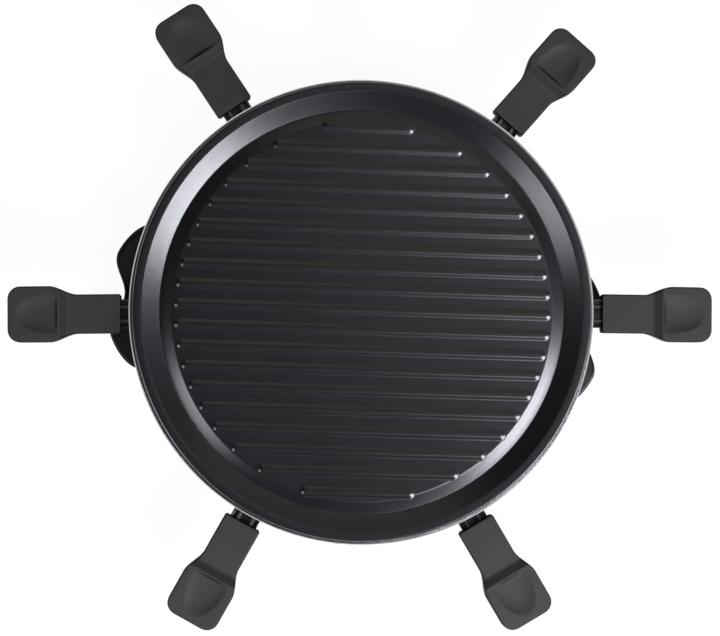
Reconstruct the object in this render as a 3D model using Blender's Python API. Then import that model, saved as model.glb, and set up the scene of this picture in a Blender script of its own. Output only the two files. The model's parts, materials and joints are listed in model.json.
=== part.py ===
"""A round raclette grill for six people, as separate pieces, in metres with +Z up.

The origin lies on the table under the middle of the grill. +X runs along the right-hand pan.
"""

import math

import bmesh
import bpy
from mathutils import Vector

# Clearances, and the small lengths that cutters need
GAP = 0.0003
OVERRUN = 0.002
WELD = 0.000001

# How finely round things are divided
ROUND_STEPS = 56
BORE_STEPS = 16
CORNER_STEPS = 4
CREASE_ANGLE = math.radians(35)

# The plate's radius, which the base, the pans and the heater follow
PLATE_RADIUS = 0.150

# How the pieces are turned about the upright axis, in degrees
STAND_TURN = -5.0
PLATE_TURN = -1.75
BAY_COUNT = 6
BAY_ANGLE = 360.0 / BAY_COUNT

# Rubber feet and their screws
FOOT_COUNT = 4
FOOT_HEIGHT = 0.009
FOOT_RADIUS = 0.0085
FOOT_DRAFT = 0.0008
FOOT_INSET = 0.020
FOOT_RECESS_RADIUS = 0.0042
FOOT_RECESS_DEPTH = 0.0045
FOOT_FIRST_BEARING = 45.0
SCREW_RADIUS = 0.0015
SCREW_HEAD_RADIUS = 0.0034
SCREW_HEAD_HEIGHT = 0.0020
SCREW_LENGTH = 0.0150

# Base tray, its underside cover and the sheet deck that the pans slide on
TRAY_HEIGHT = 0.0400
TRAY_REVEAL = 0.001
TRAY_DRAFT = 0.008
TRAY_WALL = 0.0025
TRAY_LIP_THICK = 0.0030
TRAY_SEAT_WIDTH = 0.009
TRAY_LEDGE_WIDTH = 0.016
BOSS_RADIUS = 0.0045
COVER_THICK = 0.0012
DECK_THICK = 0.0012

# Stop in the middle of the deck
HUB_RADIUS_SHARE = 0.2933
HUB_HEIGHT = 0.0075
HUB_SHOULDER = 0.0035
HUB_CROWN_INSET = 0.012

# Side grips
GRIP_HALF_ANGLE = 19.0
GRIP_REACH = 0.0202
GRIP_WAIST = 0.0129
GRIP_HORN_SHARE = 0.53
GRIP_FALL_SHARE = 0.6
GRIP_HEIGHT = 0.018
GRIP_DROP = 0.0012
GRIP_WALL = 0.0025
GRIP_ROUND = 0.0018
GRIP_OUTER_STEPS = 20
GRIP_INNER_STEPS = 8

# Pans
PAN_DEPTH = 0.0135
PAN_SHEET = 0.0010
PAN_FLANGE = 0.0030
PAN_HUB_CLEARANCE = 0.0075
PAN_INNER_HALF_SHARE = 0.16
PAN_OUTER_HALF_SHARE = 0.35
PAN_INNER_CORNER = 0.011
PAN_OUTER_CORNER = 0.017
PAN_DRAFT = 0.0035
PAN_FOOT_ROUND = 0.0025
# Along each pan, the length from the dish's outer edge to the handle
PAN_NECK_LENGTH = 0.024
# Each pan's bearing, the way it points, and how far it is drawn out as a share of PAN_PLAY
PAN_PLAY = 0.005
HANDLE_REACH = 0.0135
PAN_PLACE_SHARES = (
    (0.3, -0.7, 0.62),
    (52.0, 48.6, 0.49),
    (120.9, 123.5, -0.03),
    (180.0, 180.7, -0.63),
    (241.0, 240.5, -0.58),
    (299.2, 300.4, -0.15),
)

# Pan stems: a pressed strip with two ribs and raised edges
STEM_HALF = 0.0098
STEM_ROOT_HALF = 0.0165
STEM_THICK = 0.0016
STEM_RIB_HEIGHT = 0.0013
STEM_RIB_HALF = 0.0007
STEM_RIB_OFFSET = 0.0048
STEM_EDGE = 0.0010
STEM_INSERT = 0.019
STEM_FLARE_SHARES = (0.0, 0.35, 0.7, 1.0)

# Pan handles
HANDLE_LENGTH = 0.0756
HANDLE_NECK_HALF = 0.0132
HANDLE_PAD_HALF = 0.0188
HANDLE_NECK_LENGTH = 0.0290
HANDLE_PAD_START = 0.0480
HANDLE_TIP_CORNER = 0.0084
HANDLE_BASE_CORNER = 0.0010
HANDLE_THICK = 0.0125
HANDLE_TIP_THICK = 0.0085
HANDLE_RIDGE_DISTANCE = 0.0418
HANDLE_RIDGE_HEIGHT = 0.0026
HANDLE_RIDGE_RUN = 0.0050
HANDLE_SCOOP_DEPTH = 0.0042
HANDLE_SCOOP_HALF = 0.0130
HANDLE_SCOOP_END = 0.0700
HANDLE_EDGE_ROUND = 0.0012
HANDLE_SOCKET_GAP = 0.0004
HANDLE_ACROSS_SHARES = (-1.0, -0.6, -0.25, 0.25, 0.6, 1.0)
HANDLE_CORNER_SHARES = (0.55, 0.87)
HANDLE_PAD_RISE_SHARE = 0.75

# Uprights between the bays
UPRIGHT_WIDTH = 0.016
UPRIGHT_DEPTH = 0.008
UPRIGHT_SHEET = 0.0015
WIRED_UPRIGHT = 3

# Heater ring: a folded sheet channel that the grill plate stands on
HEATER_SPACE = 0.029
RING_HEIGHT = 0.0190
RING_SHEET = 0.0012
RING_REVEAL = 0.0026
RING_ROUND = 0.0010
RING_INNER_SKIRT = 0.0160
PLATE_PLAY = 0.0015

# Grill plate
PLATE_LIP = 0.0076
PLATE_THICK = 0.0028
PLATE_RIM_WIDTH = 0.0061
PLATE_RIM_FALL = 0.0006
PLATE_EDGE_ROUND = 0.0014
PLATE_EDGE_CUT_SHARE = 1 - math.sqrt(0.5)
PLATE_WALL_RUN = 0.0111
PLATE_GUTTER_DEPTH = 0.0090
PLATE_SLOPE_RUN = 0.0081
PLATE_FIELD_RISE = 0.0045
RIB_PITCH = 0.01325
RIB_SHIFT = 0.001
RIB_HALF = 0.0042
RIB_HEIGHT = 0.0013
RIB_FLANK = 0.0026
RIB_ROOT = 0.0020
RIB_END_GAP = 0.0006

# Heating element and what carries it
ELEMENT_RADIUS = 0.00325
ELEMENT_LOOP_INSET = 0.058
ELEMENT_BEND = 0.012
ELEMENT_END_OFFSET = 0.008
ELEMENT_BELOW_RING_TOP = 0.0101
ELEMENT_LOOP_POINTS = 44
ELEMENT_BEND_POINTS = 5
ELEMENT_HOLE_GAP = 0.0006
ELEMENT_SIDE_STEPS = 2
BRACKET_COUNT = 3
BRACKET_WIDTH = 0.012
BRACKET_SHEET = 0.0012
BRACKET_TAB = 0.0095
BRACKET_HOOK = 0.0055
BRACKET_HOOK_GAP = 0.0009
BLOCK_HALF_WIDTH = 0.0135
BLOCK_DEPTH = 0.0082
BLOCK_STAND = 0.0030

# Control panel, thermostat, knob and pilot lamp, on the front of the base
FRONT_BEARING = 270.0
PANEL_THICK = 0.003
PANEL_HALF_WIDTH = 0.032
PANEL_HEIGHT = 0.0274
PANEL_CENTRE = 0.0187
KNOB_RADIUS = 0.0125
KNOB_GRIP_RADIUS = 0.0112
KNOB_DEPTH = 0.011
KNOB_CROWN = 0.0012
KNOB_SOCKET_DEPTH = 0.009
KNOB_MARK_WIDTH = 0.0016
KNOB_MARK_HEIGHT = 0.0008
SHAFT_RADIUS = 0.003
SHAFT_INSERT = 0.008
SHAFT_STEPS = 12
THERMOSTAT_RADIUS = 0.013
THERMOSTAT_DISC = 0.010
THERMOSTAT_NOSE = 0.0065
THERMOSTAT_NOSE_RADIUS = 0.0075
LAMP_RADIUS = 0.003
LAMP_OFFSET = 0.0215
LAMP_LENGTH = 0.010
LAMP_PROUD = 0.0015

# Mains inlet at the back of the base
BACK_BEARING = 90.0
INLET_ABOVE_BASE = 0.0145
INLET_BORE_RADIUS = 0.004
INLET_BODY_RADIUS = 0.0068
INLET_FLANGE_RADIUS = 0.0090
INLET_FLANGE_THICK = 0.0030
INLET_INNER_FLANGE = 0.0025
MAINS_BLOCK_INSET = 0.051
MAINS_BLOCK_DEPTH = 0.018
MAINS_BLOCK_HALF_WIDTH = 0.011
MAINS_BLOCK_HEIGHT = 0.012

# Leads inside the base
LEAD_RADIUS = 0.0014
LEAD_HOLE_GAP = 0.0005
LEAD_OFFSET = 0.0032
LEAD_RISE_INSET = 0.0026
LEAD_FLOOR = 0.0040
LEAD_EXIT_RUN = 0.009
LEAD_APPROACH = 0.0135
LEAD_SIDE_OFFSET = 0.022
SWITCHED_VIA_SHARES = (-0.4, -0.45)
NEUTRAL_VIA_SHARES = (-0.45, 0.0)
LEAD_STEPS = 3
LEAD_SIDE_STEPS = 1
EARTH_SCREW_INSET = 0.081

# Levels, worked out from the table upwards
TRAY_BOTTOM = FOOT_HEIGHT + GAP
TRAY_TOP = TRAY_BOTTOM + TRAY_HEIGHT
TRAY_LEDGE = TRAY_TOP - DECK_THICK - GAP
TRAY_LIP_UNDER = TRAY_LEDGE - TRAY_LIP_THICK
PAN_BOTTOM = TRAY_TOP + GAP
PAN_RIM = PAN_BOTTOM + PAN_DEPTH
RING_BOTTOM = PAN_RIM + HEATER_SPACE
RING_TOP = RING_BOTTOM + RING_HEIGHT
PLATE_LIP_BOTTOM = RING_TOP + GAP
PLATE_TOP = PLATE_LIP_BOTTOM + PLATE_LIP
PLATE_GUTTER = PLATE_TOP - PLATE_GUTTER_DEPTH
PLATE_FIELD = PLATE_GUTTER + PLATE_FIELD_RISE
ELEMENT_LEVEL = RING_TOP - ELEMENT_BELOW_RING_TOP
STEM_TOP = PAN_RIM - PAN_SHEET - GAP
STEM_BOTTOM = STEM_TOP - STEM_RIB_HEIGHT - STEM_THICK
HANDLE_MIDDLE = (STEM_TOP + STEM_BOTTOM) / 2
CONTROL_LEVEL = TRAY_BOTTOM + PANEL_CENTRE

# Radii and lengths, worked out from the pieces that they fit
TRAY_TOP_RADIUS = PLATE_RADIUS + TRAY_REVEAL
FOOT_RING_RADIUS = TRAY_TOP_RADIUS - FOOT_INSET
PANEL_BACK = TRAY_TOP_RADIUS - TRAY_DRAFT
MAINS_BLOCK_RADIUS = TRAY_TOP_RADIUS - MAINS_BLOCK_INSET
EARTH_SCREW_RADIUS = TRAY_TOP_RADIUS - EARTH_SCREW_INSET
HUB_RADIUS = PLATE_RADIUS * HUB_RADIUS_SHARE
HUB_CROWN_RADIUS = HUB_RADIUS - HUB_CROWN_INSET
HANDLE_START_RADIUS = PLATE_RADIUS + HANDLE_REACH
PAN_LENGTH = HANDLE_START_RADIUS - PAN_NECK_LENGTH - HUB_RADIUS - PAN_HUB_CLEARANCE
PAN_INNER_HALF = PLATE_RADIUS * PAN_INNER_HALF_SHARE
PAN_OUTER_HALF = PLATE_RADIUS * PAN_OUTER_HALF_SHARE
ELEMENT_LOOP_RADIUS = PLATE_RADIUS - ELEMENT_LOOP_INSET
TRAY_SEAT_RADIUS = TRAY_TOP_RADIUS - TRAY_SEAT_WIDTH
TRAY_LEDGE_RADIUS = TRAY_SEAT_RADIUS - TRAY_LEDGE_WIDTH
PLATE_CREST_RADIUS = PLATE_RADIUS - PLATE_RIM_WIDTH
PLATE_GUTTER_RADIUS = PLATE_CREST_RADIUS - PLATE_WALL_RUN
PLATE_FIELD_RADIUS = PLATE_GUTTER_RADIUS - PLATE_SLOPE_RUN
RIB_CIRCLE_RADIUS = PLATE_FIELD_RADIUS - RIB_END_GAP
RIB_LAST_REACH = math.sqrt(RIB_CIRCLE_RADIUS**2 - (RIB_HALF * 2) ** 2)
RIB_SIDE_COUNT = int((RIB_LAST_REACH - RIB_SHIFT) / RIB_PITCH)
RIB_COUNT = RIB_SIDE_COUNT * 2 + 1
PLATE_WALL_SLANT = math.hypot(PLATE_WALL_RUN, PLATE_GUTTER_DEPTH)
PLATE_SEAT_DEPTH = PLATE_TOP - RING_TOP
PLATE_SEAT_RUN = PLATE_SEAT_DEPTH * PLATE_WALL_RUN / PLATE_GUTTER_DEPTH
PLATE_UNDER_RUN = PLATE_THICK * PLATE_WALL_SLANT / PLATE_GUTTER_DEPTH
RING_INNER_RADIUS = PLATE_CREST_RADIUS - PLATE_SEAT_RUN + PLATE_UNDER_RUN + PLATE_PLAY
RING_OUTER_RADIUS = PLATE_RADIUS + RING_REVEAL
CHANNEL_INNER = RING_INNER_RADIUS + RING_SHEET
CHANNEL_OUTER = RING_OUTER_RADIUS - RING_SHEET
UPRIGHT_RADIUS = (CHANNEL_INNER + CHANNEL_OUTER) / 2
LEAD_RISE_RADIUS = UPRIGHT_RADIUS - LEAD_RISE_INSET


def clear_scene():
    for obj in list(bpy.data.objects):
        bpy.data.objects.remove(obj)


def finish(name, colour, roughness, metallic):
    made = bpy.data.materials.new(name)
    made.use_nodes = True
    shader = made.node_tree.nodes["Principled BSDF"]
    shader.inputs["Base Color"].default_value = (*colour, 1.0)
    shader.inputs["Roughness"].default_value = roughness
    shader.inputs["Metallic"].default_value = metallic
    return made


def new_object(name, bm, look):
    """Turn a bmesh into an object with outward faces, smooth but for its sharp edges."""
    bmesh.ops.recalc_face_normals(bm, faces=bm.faces)
    mesh = bpy.data.meshes.new(name)
    bm.to_mesh(mesh)
    bm.free()
    mesh.materials.append(look)
    mesh.shade_smooth()
    mesh.set_sharp_from_angle(angle=CREASE_ANGLE)
    obj = bpy.data.objects.new(name, mesh)
    bpy.context.collection.objects.link(obj)
    return obj


def turned(name, profile, look, steps=ROUND_STEPS, ring=False):
    """Spin a profile of (radius, height) about Z. A ring closes on itself, else both ends are capped."""
    bm = bmesh.new()
    verts = [bm.verts.new((radius, 0, height)) for radius, height in profile]
    edges = [bm.edges.new(pair) for pair in zip(verts, verts[1:])]
    if ring:
        edges.append(bm.edges.new((verts[-1], verts[0])))
    bmesh.ops.spin(
        bm, geom=verts + edges, axis=(0, 0, 1), cent=(0, 0, 0), steps=steps, angle=math.tau, use_merge=True
    )
    if not ring:
        bmesh.ops.holes_fill(bm, edges=bm.edges, sides=0)
    return new_object(name, bm, look)


def lofted(name, loops, look):
    """Skin a row of closed loops that have equally many points, and cap both ends."""
    bm = bmesh.new()
    rows = [[bm.verts.new(point) for point in loop] for loop in loops]
    for low, high in zip(rows, rows[1:]):
        for i in range(len(low)):
            j = (i + 1) % len(low)
            bm.faces.new((low[i], low[j], high[j], high[i]))
    bm.faces.new(rows[0][::-1])
    bm.faces.new(rows[-1])
    return new_object(name, bm, look)


def slab(name, outline, low, high, look):
    return lofted(name, [[(x, y, z) for x, y in outline] for z in (low, high)], look)


def upright_slab(name, outline, half_width, look):
    """Extrude an outline in X and Z to both sides along Y."""
    return lofted(name, [[(x, y, z) for x, z in outline] for y in (-half_width, half_width)], look)


def rectangle(x0, x1, half_width):
    return [(x0, -half_width), (x1, -half_width), (x1, half_width), (x0, half_width)]


def tube(name, points, radius, look, sides_level):
    """A round tube with filled ends along a list of points."""
    curve = bpy.data.curves.new(name, "CURVE")
    curve.dimensions = "3D"
    curve.bevel_depth = radius
    curve.bevel_resolution = sides_level
    curve.use_fill_caps = True
    spline = curve.splines.new("POLY")
    spline.points.add(len(points) - 1)
    for slot, point in zip(spline.points, points):
        slot.co = (*point, 1.0)
    curve.materials.append(look)
    obj = bpy.data.objects.new(name, curve)
    bpy.context.collection.objects.link(obj)
    return obj


def combine(obj, tools, operation):
    """Join each tool to an object, or cut it away. Tools share the object's own coordinates."""
    for tool in tools:
        tool.parent = obj
        tool.hide_render = True
        tool.display_type = "WIRE"
        change = obj.modifiers.new(tool.name, "BOOLEAN")
        change.operation = operation
        change.object = tool
    return obj


def cut(obj, *tools):
    return combine(obj, tools, "DIFFERENCE")


def fuse(obj, *tools):
    return combine(obj, tools, "UNION")


def at(obj, location=(0, 0, 0), bearing=0.0):
    """Place an object and turn it about the upright axis by a bearing in degrees."""
    obj.location = location
    obj.rotation_euler = (0, 0, math.radians(bearing))
    return obj


def lying(obj, distance, level, bearing):
    """Lay a turned piece down so that its own +Z points outwards along a bearing."""
    obj.location = (*polar(distance, bearing), level)
    obj.rotation_euler = (0, math.radians(90), math.radians(bearing))
    return obj


def polar(radius, bearing):
    angle = math.radians(bearing)
    return radius * math.cos(angle), radius * math.sin(angle)


def drill(name, radius, low, high, place=(0, 0)):
    """A round cutter along Z at a place."""
    tool = turned(name, [(radius, low), (radius, high)], LOOKS["steel"], BORE_STEPS)
    tool.location = (*place, 0)
    return tool


def parallel(points, distance):
    """The line beside an open profile, at one distance to its right."""
    moved = []
    for i, point in enumerate(points):
        before = Vector(points[max(i - 1, 0)])
        after = Vector(points[min(i + 1, len(points) - 1)])
        here = Vector(point)
        into = (here - before) if i else (after - here)
        out = (after - here) if i < len(points) - 1 else into
        side_in = Vector((into.y, -into.x)).normalized()
        side_out = Vector((out.y, -out.x)).normalized()
        middle = (side_in + side_out).normalized()
        moved.append(here + middle * distance / middle.dot(side_in))
    return [tuple(point) for point in moved]


def rounded(corners, radii, inset=0.0):
    """A convex outline, drawn anticlockwise, moved inwards, with its corners rounded."""
    count = len(corners)
    outline = []
    for i in range(count):
        here = Vector(corners[i])
        into = (here - Vector(corners[i - 1])).normalized()
        out = (Vector(corners[(i + 1) % count]) - here).normalized()
        turn = into.angle_signed(out)
        half = abs(turn) / 2
        inward = Vector((-into.y, into.x)) + Vector((-out.y, out.x))
        corner = here + inward.normalized() * inset / math.cos(half)
        radius = radii[i] - inset
        reach = radius / math.cos(half)
        centre = corner + inward.normalized() * reach
        start = math.atan2(-into.x, into.y)
        for step in range(CORNER_STEPS + 1):
            angle = start + abs(turn) * step / CORNER_STEPS
            outline.append((centre.x + radius * math.cos(angle), centre.y + radius * math.sin(angle)))
    return outline


def smooth_route(points, steps):
    """Points of a smooth curve through the route's own points."""
    route = [Vector(point) for point in points]
    route = [route[0] * 2 - route[1]] + route + [route[-1] * 2 - route[-2]]
    line = []
    for a, b, c, d in zip(route, route[1:], route[2:], route[3:]):
        for step in range(steps):
            t = step / steps
            line.append(
                (b * 2 + (c - a) * t + (a * 2 - b * 5 + c * 4 - d) * t**2 + (b * 3 - a - c * 3 + d) * t**3) / 2
            )
    line.append(route[-2])
    return line


def tray_radius(level, wall=0.0):
    """The base tray's outer radius at a level, or its inner one."""
    rise = (level - TRAY_BOTTOM) / TRAY_HEIGHT
    return TRAY_TOP_RADIUS - TRAY_DRAFT * (1 - rise) - wall


def foot_places():
    for index in range(FOOT_COUNT):
        bearing = STAND_TURN + FOOT_FIRST_BEARING + 360.0 * index / FOOT_COUNT
        yield index + 1, polar(FOOT_RING_RADIUS, bearing)


def stand_polar(radius, bearing):
    return polar(radius, STAND_TURN + bearing)


def upright_bearing(index):
    return STAND_TURN + BAY_ANGLE * (index + 0.5)


WIRED_BEARING = upright_bearing(WIRED_UPRIGHT)


def make_feet():
    for number, place in foot_places():
        profile = [
            (FOOT_RADIUS, FOOT_HEIGHT),
            (FOOT_RADIUS - FOOT_DRAFT, 0),
            (FOOT_RECESS_RADIUS, 0),
            (FOOT_RECESS_RADIUS, FOOT_RECESS_DEPTH),
            (SCREW_RADIUS + GAP, FOOT_RECESS_DEPTH),
            (SCREW_RADIUS + GAP, FOOT_HEIGHT),
        ]
        foot = turned(f"foot_{number}", profile, LOOKS["rubber"], BORE_STEPS, ring=True)
        at(foot, (*place, 0))
        screw = screw_up(f"foot_screw_{number}", FOOT_RECESS_DEPTH - GAP, SCREW_LENGTH)
        at(screw, (*place, 0))


def screw_up(name, head_top, length):
    """A screw driven upwards: its head lies below head_top."""
    head_bottom = head_top - SCREW_HEAD_HEIGHT
    profile = [
        (SCREW_HEAD_RADIUS, head_bottom),
        (SCREW_HEAD_RADIUS, head_top),
        (SCREW_RADIUS, head_top),
        (SCREW_RADIUS, head_top + length),
    ]
    return turned(name, profile, LOOKS["steel"], SHAFT_STEPS)


def make_tray():
    inner_top = tray_radius(TRAY_LIP_UNDER, TRAY_WALL)
    profile = [
        (TRAY_TOP_RADIUS - RING_ROUND, TRAY_TOP),
        (tray_radius(TRAY_TOP - RING_ROUND), TRAY_TOP - RING_ROUND),
        (tray_radius(TRAY_BOTTOM), TRAY_BOTTOM),
        (tray_radius(TRAY_BOTTOM, TRAY_WALL), TRAY_BOTTOM),
        (inner_top, TRAY_LIP_UNDER),
        (TRAY_LEDGE_RADIUS, TRAY_LIP_UNDER),
        (TRAY_LEDGE_RADIUS, TRAY_LEDGE),
        (TRAY_SEAT_RADIUS, TRAY_LEDGE),
        (TRAY_SEAT_RADIUS, TRAY_TOP),
    ]
    tray = turned("base_tray", profile, LOOKS["black_plastic"], ring=True)
    boss_bottom = TRAY_BOTTOM + COVER_THICK + GAP
    for number, place in foot_places():
        boss = turned(
            f"boss_{number}",
            [(BOSS_RADIUS, boss_bottom), (BOSS_RADIUS, TRAY_LEDGE - DECK_THICK)],
            LOOKS["black_plastic"],
            BORE_STEPS,
        )
        boss.location = (*place, 0)
        fuse(tray, boss)
        hole_top = FOOT_RECESS_DEPTH + SCREW_LENGTH + OVERRUN
        cut(tray, drill(f"boss_hole_{number}", SCREW_RADIUS + GAP, TRAY_BOTTOM, hole_top, place))
    window_half_height = PANEL_HEIGHT / 2 + GAP
    window = slab(
        "panel_window",
        rectangle(PANEL_BACK - TRAY_DRAFT, TRAY_TOP_RADIUS + OVERRUN, PANEL_HALF_WIDTH + GAP),
        CONTROL_LEVEL - window_half_height,
        CONTROL_LEVEL + window_half_height,
        LOOKS["steel"],
    )
    cut(tray, at(window, bearing=STAND_TURN + FRONT_BEARING))
    inlet_length = (TRAY_WALL + TRAY_DRAFT + OVERRUN) * 2
    inlet_level = TRAY_BOTTOM + INLET_ABOVE_BASE
    inlet = turned(
        "inlet_hole",
        [(INLET_BODY_RADIUS + GAP, -inlet_length / 2), (INLET_BODY_RADIUS + GAP, inlet_length / 2)],
        LOOKS["steel"],
        BORE_STEPS,
    )
    cut(tray, lying(inlet, tray_radius(inlet_level), inlet_level, STAND_TURN + BACK_BEARING))
    for side in (-1, 1):
        hole = drill(
            f"lead_hole_{side}", LEAD_RADIUS + LEAD_HOLE_GAP, TRAY_LIP_UNDER - OVERRUN, TRAY_TOP + OVERRUN
        )
        x, y = riser_place(side, 0)
        hole.location = (*stand_polar(math.hypot(x, y), math.degrees(math.atan2(y, x))), 0)
        cut(tray, hole)
    return tray


def riser_place(side, inward):
    """Where a lead runs towards and up the wired upright, in the stand's own frame."""
    bearing = WIRED_BEARING - STAND_TURN
    x, y = polar(LEAD_RISE_RADIUS - inward, bearing)
    across_x, across_y = polar(LEAD_OFFSET * side, bearing + 90)
    return x + across_x, y + across_y


def make_cover():
    radius = tray_radius(TRAY_BOTTOM, TRAY_WALL) - GAP
    cover = turned(
        "base_cover",
        [(radius, TRAY_BOTTOM), (radius, TRAY_BOTTOM + COVER_THICK)],
        LOOKS["zinc_sheet"],
    )
    low, high = TRAY_BOTTOM - OVERRUN, TRAY_BOTTOM + COVER_THICK + OVERRUN
    for number, place in foot_places():
        cut(cover, drill(f"cover_hole_{number}", SCREW_RADIUS + GAP, low, high, place))
    place = stand_polar(EARTH_SCREW_RADIUS, BACK_BEARING)
    cut(cover, drill("cover_earth_hole", SCREW_RADIUS + GAP, low, high, place))
    return cover


def make_deck():
    radius = TRAY_SEAT_RADIUS - GAP
    bore = SCREW_RADIUS + GAP
    low, high = TRAY_TOP - DECK_THICK, TRAY_TOP
    turned("pan_deck", [(radius, high), (radius, low), (bore, low), (bore, high)], LOOKS["deck"], ring=True)
    hub_bottom = TRAY_TOP + GAP
    hub_top = hub_bottom + HUB_HEIGHT
    profile = [
        (HUB_CROWN_RADIUS, hub_top),
        (HUB_RADIUS, hub_bottom + HUB_SHOULDER),
        (HUB_RADIUS, hub_bottom),
        (bore, hub_bottom),
        (bore, hub_top - DECK_THICK),
    ]
    turned("deck_hub", profile, LOOKS["deck"], ROUND_STEPS // 2)
    screw_up("hub_screw", low - GAP, HUB_HEIGHT)


def grip_outline(level, inset):
    """One side grip seen from above, for the grip that points along +X."""
    wall = tray_radius(level) + GAP + inset
    half_angle = GRIP_HALF_ANGLE - math.degrees(inset / wall)
    outline = []
    for step in range(GRIP_OUTER_STEPS + 1):
        share = 2 * step / GRIP_OUTER_STEPS - 1
        reach = GRIP_REACH * (1 - share**2) ** GRIP_FALL_SHARE
        if abs(share) < GRIP_HORN_SHARE:
            reach -= GRIP_WAIST * (1 + math.cos(math.pi * share / GRIP_HORN_SHARE)) / 2
        reach = max(reach - 2 * inset, 0) + GRIP_ROUND
        outline.append(polar(wall + reach, half_angle * share))
    for step in range(GRIP_INNER_STEPS + 1):
        share = 1 - 2 * step / GRIP_INNER_STEPS
        outline.append(polar(wall, half_angle * share))
    return outline


def make_grips():
    top = TRAY_TOP - GRIP_DROP
    bottom = top - GRIP_HEIGHT
    levels = (
        (top - GRIP_WALL, GRIP_WALL),
        (bottom, GRIP_WALL),
        (bottom, 0.0),
        (top - GRIP_ROUND, 0.0),
        (top, GRIP_ROUND),
    )
    loops = [[(x, y, level) for x, y in grip_outline(level, inset)] for level, inset in levels]
    for name, bearing in (("right_grip", 0.0), ("left_grip", 180.0)):
        at(lofted(name, loops, LOOKS["black_plastic"]), bearing=STAND_TURN + bearing)


def pan_outline(inset):
    """The pan's rim outline, with the handle's start at X 0 and the dish on the -X side."""
    outer = -PAN_NECK_LENGTH
    inner = outer - PAN_LENGTH
    corners = [
        (inner, -PAN_INNER_HALF),
        (outer, -PAN_OUTER_HALF),
        (outer, PAN_OUTER_HALF),
        (inner, PAN_INNER_HALF),
    ]
    radii = (PAN_INNER_CORNER, PAN_OUTER_CORNER, PAN_OUTER_CORNER, PAN_INNER_CORNER)
    return rounded(corners, radii, inset)


def make_pan(number):
    floor = PAN_FLANGE + PAN_DRAFT
    levels = (
        (PAN_BOTTOM + PAN_SHEET, floor + PAN_FOOT_ROUND),
        (PAN_BOTTOM + PAN_SHEET + PAN_FOOT_ROUND, floor),
        (PAN_RIM, PAN_FLANGE),
        (PAN_RIM, 0.0),
        (PAN_RIM - PAN_SHEET, 0.0),
        (PAN_RIM - PAN_SHEET, PAN_FLANGE - PAN_SHEET),
        (PAN_BOTTOM + PAN_FOOT_ROUND, floor - PAN_SHEET),
        (PAN_BOTTOM, floor - PAN_SHEET + PAN_FOOT_ROUND),
    )
    loops = [[(x, y, level) for x, y in pan_outline(inset)] for level, inset in levels]
    return lofted(f"pan_{number}", loops, LOOKS["pan_coating"])


def stem_section(half):
    """The stem's cross-section across Y: two pressed ribs and raised edges on a strip."""
    top = STEM_BOTTOM + STEM_THICK
    crest = top + STEM_RIB_HEIGHT
    right = [
        (half, STEM_BOTTOM),
        (half, crest),
        (half - STEM_EDGE, crest),
        (half - STEM_EDGE - STEM_RIB_HALF, top),
        (STEM_RIB_OFFSET + STEM_RIB_HALF * 2, top),
        (STEM_RIB_OFFSET + STEM_RIB_HALF, crest),
        (STEM_RIB_OFFSET - STEM_RIB_HALF, crest),
        (STEM_RIB_OFFSET - STEM_RIB_HALF * 2, top),
    ]
    return right + [(-y, z) for y, z in reversed(right)]


def make_stem(number):
    root = -PAN_NECK_LENGTH - PAN_FLANGE + PAN_SHEET + GAP * 2
    flare_end = -PAN_NECK_LENGTH / 2
    loops = []
    for share in STEM_FLARE_SHARES:
        place = root + (flare_end - root) * share
        half = STEM_HALF + (STEM_ROOT_HALF - STEM_HALF) * (1 - share) ** 2
        loops.append([(place, y, z) for y, z in stem_section(half)])
    loops.append([(STEM_INSERT, y, z) for y, z in stem_section(STEM_HALF)])
    return lofted(f"pan_stem_{number}", loops, LOOKS["stem_steel"])


def handle_half(place):
    """Half the handle's width at a distance from its inner end."""
    if place < HANDLE_BASE_CORNER:
        return HANDLE_NECK_HALF - HANDLE_BASE_CORNER + place
    taper = (place - HANDLE_NECK_LENGTH) / (HANDLE_PAD_START - HANDLE_NECK_LENGTH)
    taper = min(max(taper, 0), 1)
    ease = taper * taper * (3 - 2 * taper)
    half = HANDLE_NECK_HALF + (HANDLE_PAD_HALF - HANDLE_NECK_HALF) * ease
    past = place - (HANDLE_LENGTH - HANDLE_TIP_CORNER)
    if past > 0:
        half -= HANDLE_TIP_CORNER - math.sqrt(max(HANDLE_TIP_CORNER**2 - past**2, 0))
    return half


def handle_section(place):
    """One cross-section of a handle: a block whose top is hollowed for the thumb."""
    half = handle_half(place)
    share = place / HANDLE_LENGTH
    thick = HANDLE_THICK + (HANDLE_TIP_THICK - HANDLE_THICK) * share**2
    top = HANDLE_MIDDLE + HANDLE_THICK / 2 - (HANDLE_THICK - thick) / 2
    bottom = top - thick
    ramp = (place - HANDLE_RIDGE_DISTANCE + HANDLE_RIDGE_RUN) / HANDLE_RIDGE_RUN
    rise_share = 1 if place <= HANDLE_RIDGE_DISTANCE else HANDLE_PAD_RISE_SHARE
    top += HANDLE_RIDGE_HEIGHT * min(max(ramp, 0), 1) * rise_share
    scoop = 0.0
    if place > HANDLE_RIDGE_DISTANCE:
        run = (place - HANDLE_RIDGE_DISTANCE) / (HANDLE_SCOOP_END - HANDLE_RIDGE_DISTANCE)
        scoop = HANDLE_SCOOP_DEPTH * max(1 - run**2, 0)
    hollow_half = min(HANDLE_SCOOP_HALF, half - HANDLE_EDGE_ROUND * 2)
    section = []
    for across in HANDLE_ACROSS_SHARES:
        section.append((hollow_half * across, top - scoop * (1 - across**4)))
    edge = HANDLE_EDGE_ROUND
    right = [(half - edge, top), (half, top - edge), (half, bottom + edge), (half - edge, bottom)]
    return section + right + [(-y, z) for y, z in reversed(right)]


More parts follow.
